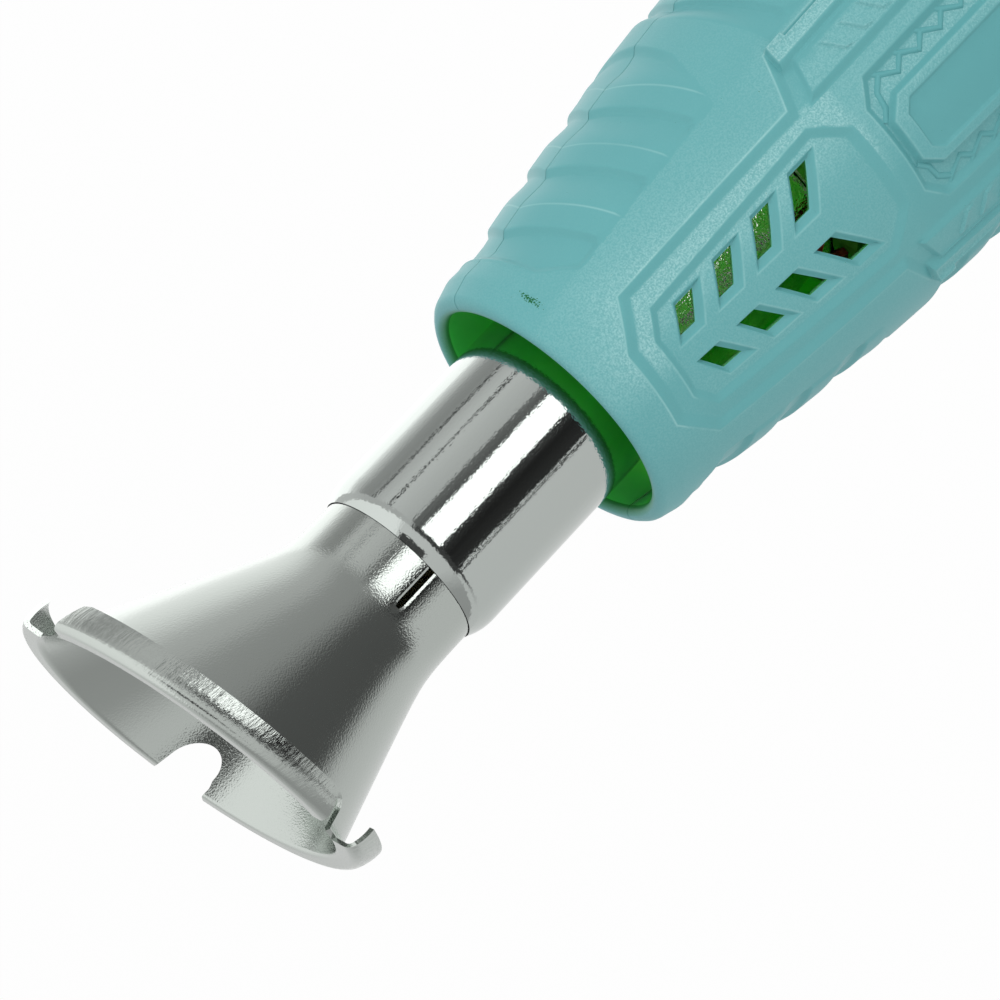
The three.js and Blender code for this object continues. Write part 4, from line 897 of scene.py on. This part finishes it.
def sheet_field(corners):
    """A field of the flat sheet, with steep edges."""
    return field([(along, angle * TURN_WIDTH / DEGREE) for along, angle in corners], 0.01)


def rounded_slot(middle, half_angle):
    """A slit with a round bottom that runs off the sheet's end."""
    curve = [(SLIT_BOTTOM + SLIT_DEPTH - SLIT_DEPTH * math.cos(a), middle + half_angle * math.sin(a))
             for a in np.linspace(-math.pi / 2, math.pi / 2, 11)]
    return sheet_field(curve + [(run[-1] + 2, middle + half_angle), (run[-1] + 2, middle - half_angle)])


def lip_gap(front_from, front_to, skirt_from, skirt_to):
    """A gap in the turned lip, given at its front and at the end of its skirt."""
    return sheet_field([(front_run, front_from), (front_run, front_to), (PAST_END, skirt_to),
                        (PAST_END, skirt_from)])


def notch(middle):
    """The wire notch: a round bottom in the bell, sides through the lip, and one of them flared."""
    mouth = [(NOTCH_RUN - NOTCH_DEPTH * math.cos(a), middle + 0.3 + 8.5 * math.sin(a))
             for a in np.linspace(-math.pi / 2, math.pi / 2, 25)]
    side = [(NOTCH_RUN, middle), (NOTCH_RUN, middle + 8.8), (NOTCH_RUN + 1, middle + 10),
            (PAST_END, middle + 10), (PAST_END, middle)]
    return [sheet_field(mouth + [(PAST_END, middle + 8.8), (PAST_END, middle - 8.2)]), sheet_field(side)]


split = sheet_field([(-2, -19.3), (-2, -14.7), (18.9, -14.7), (19.5, -15.7), (19.5, -18.3), (18.9, -19.3)])
first_slit = [rounded_slot(69, 5.2), lip_gap(59, 83, 51, 84),
              sheet_field([(run[-1] - 0.8, 58), (run[-1] - 0.8, 84), (PAST_END, 84), (PAST_END, 44)])]
second_slit = [rounded_slot(-54.5, 5.4), lip_gap(-67, -52, -63, -39)]
both_ends_of_notch = [*notch(182.4), *notch(-177.6)]     # it lies across the seam of the flat sheet
sheet_holes = [*first_slit, *second_slit, *both_ends_of_notch, split]
print(len(sheet_holes), "openings in the sheet")

# %% Lay out and cut the sheet
DIE_ROLL, ROLL_IN = 0.4, 0.27   # width and slope of the sheared edge along the split


def sheet_pattern():
    """Points and triangles of the flat sheet, without its openings."""
    points, edges = [], []
    half = 180 * TURN_WIDTH
    lines = [[(along, flat) for flat in np.linspace(-half, half, 145)] for along in run]
    lines += [[(along, side) for along in run] for side in (-half, half)]
    for line in lines:
        edges += [(len(points) + k, len(points) + k + 1) for k in range(len(line) - 1)]
        points += line
    rolled_edge = [outline(split, 0, -DIE_ROLL * share) for share in (0.5, 1)]
    for corners in [form["corner"] for form in sheet_holes] + rolled_edge:
        line = divided(corners, 0.6)
        edges += [(len(points) + k, len(points) + (k + 1) % len(line)) for k in range(len(line))]
        points += line
    return triangles(points, edges, [(0, -half), (run[-1], half)],
                     lambda flat: np.any([inside(form, flat) > 0 for form in sheet_holes], axis=0))


flat, faces = sheet_pattern()
print("flat sheet:", len(flat), "corners,", len(faces), "triangles")

# %% Roll the sheet up, lean the bell and turn it to its place
LEAN, SLOPE = 3.2, 0.12         # how far the mouth shifts to one side, and how steeply it slants
NEAR_LIP = 0.013                # lets the lip reach further on the side across from the notch
TURN = math.radians(23.4)       # of the whole reflector round the tool's axis


def roll_sheet(flat, lift):
    """Places of one face of the sheet, lifted from its middle line. The outer one rolls in at the split."""
    along = np.gradient(sheet_line, run, axis=0)
    along /= np.linalg.norm(along, axis=1)[:, None]
    if lift > 0:
        lift = lift - ROLL_IN * np.clip(DIE_ROLL + reach(split, flat).min(1), 0, DIE_ROLL)
    radius = np.interp(flat[:, 0], run, sheet_line[:, 0]) + lift * np.interp(flat[:, 0], run, along[:, 1])
    height = np.interp(flat[:, 0], run, sheet_line[:, 1]) - lift * np.interp(flat[:, 0], run, along[:, 0])
    angle = np.radians(flat[:, 1] / TURN_WIDTH)
    x, y = radius * np.sin(angle), -radius * np.cos(angle)
    share = flare(height) / FLARE_LENGTH
    x = x + LEAN * share
    height = height + share * (SLOPE * x + NEAR_LIP * (np.hypot(y, 3) - y))
    return np.stack([x * math.cos(TURN) - y * math.sin(TURN), x * math.sin(TURN) + y * math.cos(TURN),
                     height], 1)


count, seam = len(flat), 180 * TURN_WIDTH - 1e-4
corners = np.concatenate([roll_sheet(flat, SHEET / 2), roll_sheet(flat, -SHEET / 2)])
bare = open_sides(faces, lambda a, b: min(abs(flat[a, 1]), abs(flat[b, 1])) > seam)
faces = faces.tolist() + (faces[:, ::-1] + count).tolist() + [(b, a, a + count, b + count) for a, b in bare]
on_skirt = np.clip((flat[:, 0] - skirt_run + 0.5) / 0.6, 0, 1)
reflector = make_mesh("reflector_drawn", corners, faces, [drawn_chrome],
                      values={"lip": np.tile(on_skirt, 2), "around": np.tile(flat[:, 1], 2),
                              "along": np.tile(flat[:, 0], 2)})
settle("reflector_drawn", reflector, "nozzle", ["reflector_nozzle"], 50)

# %% [markdown]
# ## Finishes of the smaller parts
# The smaller parts are common stuff: moulded nylon, zinc-plated steel, rubber, ceramic, mica and
# so on. Most of them show a fine mottle, so one function gives a finish two tones of one colour,
# a grain of a real size and a roughness that varies with it. The cells after it add what is
# special, such as the weave of a circuit board.

# %% Mottled finishes
def mottled(name, dark, light, size, rough, metallic=0.0, bump=0.1):
    """A finish with a grain of a size in millimetres, between two colours and two roughnesses."""
    material, tree, shader = new_material(name, light, rough[0], metallic)
    place = add_node(tree, "ShaderNodeTexCoord").outputs["Object"]
    grain = add_node(tree, "ShaderNodeTexNoise", {"Vector": place, "Scale": per_mm(size), "Detail": 4.0})
    tone = add_node(tree, "ShaderNodeMix", {0: grain.outputs["Fac"], 6: linear(dark), 7: linear(light)},
                    data_type="RGBA")
    shine = add_node(tree, "ShaderNodeMapRange", {"Value": grain.outputs["Fac"], 1: 0.3, 2: 0.7,
                                                  3: rough[0], 4: rough[1]})
    relief_node = add_node(tree, "ShaderNodeBump", {"Height": grain.outputs["Fac"], "Strength": bump,
                                                    "Distance": 0.1 * size * MM})
    tree.links.new(tone.outputs[2], shader.inputs["Base Color"])
    tree.links.new(shine.outputs[0], shader.inputs["Roughness"])
    tree.links.new(relief_node.outputs["Normal"], shader.inputs["Normal"])
    return material


black_nylon = mottled("moulded_nylon_black", "#17181a", "#222426", 0.5, (0.38, 0.5), bump=0.25)
rubber = mottled("moulded_rubber", "#1d1f20", "#2b2d2e", 0.35, (0.75, 0.9), bump=0.4)
zinc_steel = mottled("zinc_plated_steel", "#8f918e", "#b4b5b0", 2.5, (0.24, 0.4), 1.0)
steatite = mottled("fired_steatite", "#d8d0bf", "#ebe5d6", 0.4, (0.7, 0.85), bump=0.3)
green_glaze = mottled("glazed_steatite_green", "#55b030", "#66c23c", 1.5, (0.3, 0.45), bump=0.15)
mica = mottled("pressed_mica", "#98835c", "#cbb88f", 1.6, (0.35, 0.6), bump=0.3)
brass = mottled("stamped_brass", "#a5803f", "#c9a75f", 3.0, (0.25, 0.38), 1.0)
phenolic = mottled("phenolic_board", "#3a281c", "#553a27", 0.8, (0.5, 0.65))
pvc_black = mottled("extruded_pvc_black", "#141516", "#1f2021", 0.6, (0.35, 0.45))
pvc_brown = mottled("extruded_pvc_brown", "#4a2a1c", "#5d3725", 0.6, (0.35, 0.45))
nichrome = mottled("oxidised_heating_wire", "#4d4340", "#8a7a70", 1.2, (0.4, 0.6), 1.0, 0.2)
print("finishes so far:", len([made for made in bpy.data.materials if made.use_nodes]))

# %% Braided red sleeving: glass threads wound both ways, which show as small diamonds
sleeving, tree, shader = new_material("braided_sleeving_red", "#a8382b", 0.7)
place = add_node(tree, "ShaderNodeTexCoord").outputs["Object"]
braid = add_node(tree, "ShaderNodeTexVoronoi", {"Vector": place, "Scale": per_mm(0.5)})
tone = add_node(tree, "ShaderNodeMix", {0: braid.outputs["Distance"], 6: linear("#b84534"),
                                        7: linear("#742018")}, data_type="RGBA")
threads = add_node(tree, "ShaderNodeBump", {"Height": braid.outputs["Distance"], "Strength": 0.5,
                                            "Distance": 0.15 * MM}, invert=True)
tree.links.new(tone.outputs[2], shader.inputs["Base Color"])
tree.links.new(threads.outputs["Normal"], shader.inputs["Normal"])
print(sleeving.name, "has", len(tree.nodes), "nodes")

# %% Glass-epoxy board: green lacquer over a woven cloth with one thread every half millimetre
THREAD, BANDS = 0.5, 20         # spacing in millimetres, and a wave's bands per unit of its scale
board, tree, shader = new_material("glass_epoxy_board", "#2a6738", 0.4)
place = add_node(tree, "ShaderNodeTexCoord").outputs["Object"]
weave = [add_node(tree, "ShaderNodeTexWave", {"Vector": place, "Scale": per_mm(THREAD) / BANDS},
                  bands_direction=axis) for axis in ("X", "Y")]
cloth = add_node(tree, "ShaderNodeMath", {0: weave[0].outputs["Fac"], 1: weave[1].outputs["Fac"]},
                 operation="MULTIPLY")
tone = add_node(tree, "ShaderNodeMix", {0: cloth.outputs[0], 6: linear("#235a30"), 7: linear("#347a43")},
                data_type="RGBA")
tree.links.new(tone.outputs[2], shader.inputs["Base Color"])
print(board.name, "has", len(tree.nodes), "nodes")

# %% Moulded epoxy of the diodes: matt black with the pale ring that marks one end
epoxy, tree, shader = new_material("moulded_epoxy", "#1b1c1e", 0.5)
place = add_node(tree, "ShaderNodeTexCoord").outputs["Object"]
along = add_node(tree, "ShaderNodeSeparateXYZ", {0: place}).outputs["Y"]
ring = add_node(tree, "ShaderNodeMath", {0: along, 1: 1.7 * MM, 2: 0.35 * MM}, operation="COMPARE")
tone = add_node(tree, "ShaderNodeMix", {0: ring.outputs[0], 6: linear("#1b1c1e"), 7: linear("#b9bab8")},
                data_type="RGBA")
tree.links.new(tone.outputs[2], shader.inputs["Base Color"])
print(epoxy.name, "has", len(tree.nodes), "nodes")

# %% [markdown]
# ## Solids that keep their shape
# Parts deep inside the tool are plain pressings and mouldings already, so their solids stay and
# only get a finish.

# %% Finishes on the frame's own solids
INSIDE = {
    phenolic: ["support_plate"], steatite: ["heater_base"], green_glaze: ["thermal_cutout"],
    mica: ["mica_sleeve", "mica_board_1", "mica_board_2"],
    zinc_steel: ["cutout_band", "motor_can", "motor_shaft"],
    sleeving: ["lead_red"], black_nylon: ["fan_duct", "motor_end_cap", "impeller", "switch_body"],
    board: ["rectifier_board"], epoxy: ["diode_1", "diode_2", "diode_3", "diode_4"],
    brass: ["switch_terminal_1", "switch_terminal_2", "switch_terminal_3"], pvc_black: ["lead_black"],
    pvc_brown: ["lead_brown"]}
for material, nodes in INSIDE.items():
    for node in nodes:
        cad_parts[node].material_slots[0].material = material
print("solids with a new finish:", sum(len(nodes) for nodes in INSIDE.values()))

# %% [markdown]
# ## Heating coil
# Resistance wire is wound in an even spiral round two crossed mica boards. A tree draws the
# spiral from its radius, turns and length, and sweeps the wire's round along it.

# %% Wind the coil
sizes = {"Radius": 8.0 * MM, "Wire": 0.45 * MM, "Turns": 12.0, "Length": 54.6 * MM, "Low": 132.1 * MM}
tree, size = node_tree("heating_coil_wound", sizes)
spiral = add_node(tree, "GeometryNodeCurveSpiral",
                  {"Resolution": 40, "Rotations": size["Turns"], "Reverse": True, "Height": size["Length"],
                   "Start Radius": size["Radius"], "End Radius": size["Radius"]})
wire = add_node(tree, "GeometryNodeCurvePrimitiveCircle", {"Radius": size["Wire"], "Resolution": 10})
swept = add_node(tree, "GeometryNodeCurveToMesh",
                 {"Curve": spiral.outputs[0], "Profile Curve": wire.outputs[0], "Fill Caps": True})
low = add_node(tree, "ShaderNodeCombineXYZ", {"Z": size["Low"]})
lifted = add_node(tree, "GeometryNodeTransform",
                  {"Geometry": swept.outputs[0], "Translation": low.outputs[0]})
coil = grow(tree, bpy.data.meshes.new("coil_base"), sizes, lifted.outputs[0], nichrome)
settle("heating_coil_wound", coil, "housing", ["heating_coil"], 60)

# %% [markdown]
# ## Tail cap
# A cup snaps into the rear of the housing and lets air in through a ring of slots. The cup is
# turned like the tube. A tree makes one rounded slot, repeats it round the axis and cuts all of
# them out, so their count and size stay easy to change.

# %% Turn the cup
cup_line = [(0, 2.1), (17.7, 2.1), (17.7, 1.0), (19.6, 1.0)] + arc((20.0, 3.0), 2.0, -90, -5, 10)
cup_line += [(22.35, 7.0), (22.68, 11.2)] + arc((22.3, 11.3), 0.4, 10, 90, 4) + [(20.41, 11.7), (20.41, 14.2)]
cup_line += [(21.21, 15.0), (20.41, 15.8), (20.41, 17.6), (20.0, 18.0), (18.61, 18.0), (18.61, 3.6), (0, 3.6)]
cup = make_mesh("tail_cup", *turned(cup_line, 120), [teal_paint])
print("cup:", len(cup.vertices), "corners")

# %% Cut its slots
sizes = {"Count": 12, "Width": 2.4 * MM, "Height": 5.4 * MM, "Corner": 0.8 * MM, "Level": 6.9 * MM,
         "Start": 16.0 * MM, "End": 25.0 * MM}
tree, size = node_tree("intake_slots", sizes)
frame_line = add_node(tree, "GeometryNodeCurvePrimitiveQuadrilateral",
                      {"Width": size["Height"], "Height": size["Width"]})
soft_line = add_node(tree, "GeometryNodeFilletCurve",
                     {"Curve": frame_line.outputs[0], "Radius": size["Corner"], "Count": 5}, mode="POLY")
start = add_node(tree, "ShaderNodeCombineXYZ", {"X": size["Start"], "Z": size["Level"]})
end = add_node(tree, "ShaderNodeCombineXYZ", {"X": size["End"], "Z": size["Level"]})
ray = add_node(tree, "GeometryNodeCurvePrimitiveLine", {"Start": start.outputs[0], "End": end.outputs[0]})
slot = add_node(tree, "GeometryNodeCurveToMesh",
                {"Curve": ray.outputs[0], "Profile Curve": soft_line.outputs[0], "Fill Caps": True})
points = add_node(tree, "GeometryNodePoints", {"Count": size["Count"]})
index = add_node(tree, "GeometryNodeInputIndex").outputs[0]
step = add_node(tree, "ShaderNodeMath", {0: 2 * math.pi, 1: size["Count"]}, operation="DIVIDE")
half_step = add_node(tree, "ShaderNodeMath", {0: index, 1: 0.5}, operation="ADD")
angle = add_node(tree, "ShaderNodeMath", {0: half_step.outputs[0], 1: step.outputs[0]}, operation="MULTIPLY")
turn = add_node(tree, "ShaderNodeCombineXYZ", {"Z": angle.outputs[0]})
ring = add_node(tree, "GeometryNodeInstanceOnPoints",
                {"Points": points.outputs[0], "Instance": slot.outputs[0], "Rotation": turn.outputs[0]})
cutters = add_node(tree, "GeometryNodeRealizeInstances", {"Geometry": ring.outputs[0]})
cut = add_node(tree, "GeometryNodeMeshBoolean", {"Mesh 1": size["Geometry"], "Mesh 2": cutters.outputs[0]},
               operation="DIFFERENCE")
cap = grow(tree, cup, sizes, cut.outputs[0], teal_paint)
settle("tail_cap_slotted", cap, "housing", ["tail_cap"])

# %% Foot pad: a rubber disc with two grooves that let it grip
pad_line = [(0, 0), (8.4, 0), (8.7, 0.5), (9.7, 0.5), (10, 0), (13.4, 0), (13.7, 0.5), (14.7, 0.5), (15, 0)]
pad_line += arc((16.7, 0.7), 0.7, -90, 0, 6) + [(17.4, 2.0), (0, 2.0)]
foot = make_mesh("foot_pad_grooved", *turned(pad_line, 96), [rubber])
settle("foot_pad_grooved", foot, "housing", ["foot_pad"])

# %% [markdown]
# ## Switch and cord bush
# The rocker switch and the bush are bought-in mouldings with small, even edge radii. Their solids
# have the right form, so a copy of each is welded, freed of flat seams and bevelled.

# %% Copies with rounded edges
def softened(name, node, material, body, radius):
    """A copy of a solid, with its edges rounded to a radius."""
    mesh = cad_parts[node].data.copy()
    work = bmesh.new()
    work.from_mesh(mesh)
    bmesh.ops.remove_doubles(work, verts=work.verts, dist=1e-6)
    bmesh.ops.dissolve_limit(work, angle_limit=math.radians(2), verts=work.verts, edges=work.edges)
    sharp = [e for e in work.edges if e.is_manifold and e.calc_face_angle() > math.radians(32)]
    bmesh.ops.bevel(work, geom=sharp, offset=radius * MM, segments=3, profile=0.5, affect="EDGES",
                    clamp_overlap=True)
    work.to_mesh(mesh)
    work.free()
    mesh.materials.clear()
    mesh.materials.append(material)
    settle(name, mesh, body, [node], 50)


softened("switch_bezel_soft", "switch_bezel", black_nylon, "housing", 0.25)
softened("rocker_soft", "rocker", black_nylon, "rocker", 0.35)
softened("cord_bush_soft", "cord_gland", rubber, "housing", 0.3)

# %% [markdown]
# ## Screws
# Four pan-head screws with a cross recess close the housing from the far side. One screw is
# turned from its outline. A tree sinks the cross into its head with two bars and puts the screw
# on four points, so that a change to one is a change to all.

# %% Turn one screw
screw_line = [(0, -7.9), (1.2, -6.9), (1.2, 9.0), (1.2, 9.1), (2.5, 9.1), (2.7, 9.3), (2.7, 10.1)]
screw_line += [(2.62, 10.45), (2.3, 10.75), (1.6, 10.95), (0, 11.0)]
corners, faces = turned(screw_line, 40)
blank = make_mesh("screw_blank", [(x, z, -y) for x, y, z in corners], faces, [zinc_steel])
print("screw:", len(blank.vertices), "corners")

# %% Sink its cross, and put it in four places
(front_x, front_back), _, (middle_x, middle_back), _ = SCREWS
sizes = {"Bar": 2.8 * MM, "Blade": 0.65 * MM, "Sink": 2.0 * MM, "Head": 11.0 * MM,
         "Front x": front_x * MM, "Front z": (BODY_LENGTH - front_back) * MM,
         "Middle x": middle_x * MM, "Middle z": (BODY_LENGTH - middle_back) * MM}
tree, size = node_tree("housing_screws", sizes)
head = add_node(tree, "ShaderNodeCombineXYZ", {"Y": size["Head"]})
screw = size["Geometry"]
for long_side, short_side in (("X", "Z"), ("Z", "X")):
    extent = add_node(tree, "ShaderNodeCombineXYZ", {long_side: size["Bar"], short_side: size["Blade"],
                                                     "Y": size["Sink"]})
    bar = add_node(tree, "GeometryNodeMeshCube", {"Size": extent.outputs[0]})
    sunk = add_node(tree, "GeometryNodeTransform",
                    {"Geometry": bar.outputs[0], "Translation": head.outputs[0]})
    screw = add_node(tree, "GeometryNodeMeshBoolean", {"Mesh 1": screw, "Mesh 2": sunk.outputs[0]},
                     operation="DIFFERENCE").outputs[0]
places = add_node(tree, "GeometryNodeJoinGeometry")
for x, z in (("Front x", "Front z"), ("Middle x", "Middle z")):
    mirror = add_node(tree, "ShaderNodeMath", {0: size[x], 1: -1.0}, operation="MULTIPLY")
    ends = [add_node(tree, "ShaderNodeCombineXYZ", {"X": value, "Z": size[z]})
            for value in (size[x], mirror.outputs[0])]
    pair = add_node(tree, "GeometryNodeMeshLine", {"Count": 2, "Start Location": ends[0].outputs[0],
                                                   "Offset": ends[1].outputs[0]}, mode="END_POINTS")
    tree.links.new(pair.outputs[0], places.inputs[0])
driven = add_node(tree, "GeometryNodeInstanceOnPoints", {"Points": places.outputs[0], "Instance": screw})
screws = grow(tree, blank, sizes, driven.outputs[0], zinc_steel)
settle("housing_screws", screws, "housing", [f"housing_screw_{k}" for k in range(1, 5)])

# %% [markdown]
# ## Floor, light and camera
# The tool was photographed on white, under soft light from above and beside the camera. The floor
# and the world are white to the camera and to mirrors, and light the tool at a plain level
# otherwise. Shiny things take their shape from what they mirror, so a studio puts a tent of white
# cloth, grey card and black flags round them. The tent here is seen by mirrors alone.

# %% Floor
def mirror_rays(tree):
    """1 where a ray comes from the camera, a mirror or glass."""
    path = add_node(tree, "ShaderNodeLightPath")
    seen = add_node(tree, "ShaderNodeMath",
                    {0: path.outputs["Is Camera Ray"], 1: path.outputs["Is Glossy Ray"]}, operation="MAXIMUM")
    return add_node(tree, "ShaderNodeMath", {0: seen.outputs[0], 1: path.outputs["Is Transmission Ray"]},
                    operation="MAXIMUM").outputs[0]


white_floor, tree, shader = new_material("white_paper", "#ffffff", 0.9)
glow = add_node(tree, "ShaderNodeEmission", {"Color": (1, 1, 1, 1), "Strength": 1.0})
share = add_node(tree, "ShaderNodeMath", {0: mirror_rays(tree), 1: 0.95}, operation="MULTIPLY")
mixed = add_node(tree, "ShaderNodeMixShader", {0: share.outputs[0], 1: shader.outputs[0], 2: glow.outputs[0]})
tree.links.new(mixed.outputs[0], tree.nodes["Material Output"].inputs["Surface"])
floor_mesh = bpy.data.meshes.new("floor")
floor_mesh.from_pydata([(-40, -40, 0), (40, -40, 0), (40, 40, 0), (-40, 40, 0)], [], [(0, 1, 2, 3)])
floor_mesh.materials.append(white_floor)
floor = bpy.data.objects.new("floor", floor_mesh)
bpy.context.scene.collection.objects.link(floor)
print("floor:", white_floor.name)

# %% World
world = bpy.data.worlds.new("studio")
bpy.context.scene.world = world
world.use_nodes = True
tree = world.node_tree
strength = add_node(tree, "ShaderNodeMapRange", {"Value": mirror_rays(tree), 3: 0.74, 4: 1.0})
tree.nodes["Background"].inputs["Color"].default_value = (1, 1, 1, 1)
tree.links.new(strength.outputs[0], tree.nodes["Background"].inputs["Strength"])
print("world:", world.name)

# %% One soft lamp
def lamp(name, place, aim, size, power):
    """A round, soft lamp that points at a place and that mirrors don't see."""
    made = bpy.data.objects.new(name, bpy.data.lights.new(name, "AREA"))
    made.data.shape, made.data.size, made.data.energy = "DISK", size, power
    made.location = Vector(place)
    made.rotation_mode = "QUATERNION"
    made.rotation_quaternion = (Vector(aim) - Vector(place)).to_track_quat("-Z", "Y")
    made.visible_glossy = False
    bpy.context.scene.collection.objects.link(made)


lamp("key", (0.72, -0.55, 0.42), (0, 0, 0.15), 0.5, 2.2)
print("lamps:", [made.name for made in bpy.data.lights])

# %% A band of tent cloth, with a brightness for each direction
tent_cloth = bpy.data.materials.new("tent_cloth")
tent_cloth.use_nodes = True
tree = tent_cloth.node_tree
tone = add_node(tree, "ShaderNodeAttribute", attribute_name="tone").outputs["Fac"]
glow = add_node(tree, "ShaderNodeEmission", {"Color": (1, 1, 1, 1), "Strength": tone})
tree.links.new(glow.outputs[0], tree.nodes["Material Output"].inputs["Surface"])


def tent(name, rows, tones):
    """A band round the tool through (radius, height) rows, with (direction, brightness) pairs."""
    towards, bright = np.array(tones).T
    angles = np.unique(np.concatenate([np.linspace(towards[0], towards[-1], 181), towards]))
    corners = [(r * math.cos(a) * MM, r * math.sin(a) * MM, z * MM)
               for r, z in rows for a in np.radians(angles)]
    n = len(angles)
    mesh = bpy.data.meshes.new(name)
    mesh.from_pydata(corners, [], [(k * n + i, k * n + i + 1, k * n + n + i + 1, k * n + n + i)
                                   for k in range(len(rows) - 1) for i in range(n - 1)])
    shade = np.tile(np.interp(angles, towards, bright), len(rows)).astype(np.float32)
    mesh.attributes.new("tone", "FLOAT", "POINT").data.foreach_set("value", shade)
    mesh.materials.append(tent_cloth)
    made = bpy.data.objects.new(name, mesh)
    bpy.context.scene.collection.objects.link(made)
    made.visible_camera = made.visible_diffuse = made.visible_shadow = made.visible_transmission = False


print("cloth:", tent_cloth.name)

# %% The tent: pairs of a direction in degrees round the tool and a brightness
TENT = 420                      # its radius
WALLS = [(-180, 0.72), (-121.8, 0.74), (-121.4, 0.05), (-119.2, 0.05), (-118.8, 0.8), (-116.9, 0.8),
         (-116.5, 0.04), (-96, 0.02), (-84, 0.06), (-83.5, 2.0), (-57, 2.0), (-56.5, 0.12), (-45, 0.2),
         (-43, 0.6), (-12, 0.75), (-11.7, 0.02), (-9.7, 0.02), (-9.4, 0.75), (9.4, 0.6), (9.7, 0.04),
         (11.6, 0.04), (12, 0.45), (17, 0.36), (30, 0.42), (46, 0.9), (55, 1.55), (79, 1.55), (130, 0.8),
         (180, 0.72)]
GROUND = [(-180, 0.72), (-163, 0.62), (-151, 0.1), (-85, 0.12), (-58, 0.38), (-20, 0.42), (0, 0.6),
          (17, 0.62), (46, 1.1), (90, 1.4), (130, 0.78), (180, 0.72)]
EDGING = [(-180, 0.72), (-122, 0.72), (-119, 0.06), (-50, 0.08), (-44, 0.6), (20, 0.6), (46, 0.7),
          (180, 0.72)]
ABOVE = [(-180, 0.42), (-140, 0.45), (-110, 0.72), (-38, 0.8), (-30, 1.15), (0, 1.15), (60, 1.1), (120, 0.7),
         (180, 0.42)]
tent("tent_walls", [(TENT, 0.5), (TENT, 230)], WALLS)
tent("tent_ground", [(60, 0.5), (TENT, 0.5)], GROUND)
tent("tent_edging", [(TENT, 230), (TENT, 300)], EDGING)
tent("tent_above", [(TENT, 300), (TENT, 700), (1, 1000)], ABOVE)
tent("tent_flag", [(400, 450), (390, 600)], [(-81, 0.08), (-38, 0.08)])
tent("tent_hem", [(418, 226), (418, 254)], [(-175, 0.72), (-150, 0.55), (-132, 0.12), (-118, 0.06)])
bpy.context.scene.view_settings.view_transform = "Standard"
print("stage is set with", len(bpy.data.lights), "lamp and a tent")

# %% [markdown]
# ## Camera
# The photograph looks down at the tool from in front of its nozzle, with the tool across the
# frame. The camera's place and axes were worked out from the ellipses of the rim and the tube.

# %% Camera
camera = bpy.data.objects.new("camera", bpy.data.cameras.new("camera"))
bpy.context.scene.collection.objects.link(camera)
right, up = Vector((-0.60134, -0.45759, -0.65498)), Vector((0.71408, 0.05996, -0.69749))
camera.matrix_world = Matrix.Translation(Vector((124.5, -315.6, 293.6)) * MM) @ Matrix(
    (right, up, right.cross(up))).transposed().to_4x4()
camera.data.sensor_width, camera.data.lens = 36.0, 118.8
camera.data.clip_start = 0.01
bpy.context.scene.camera = camera
print("camera at", [round(v / MM, 1) for v in camera.location], "mm")
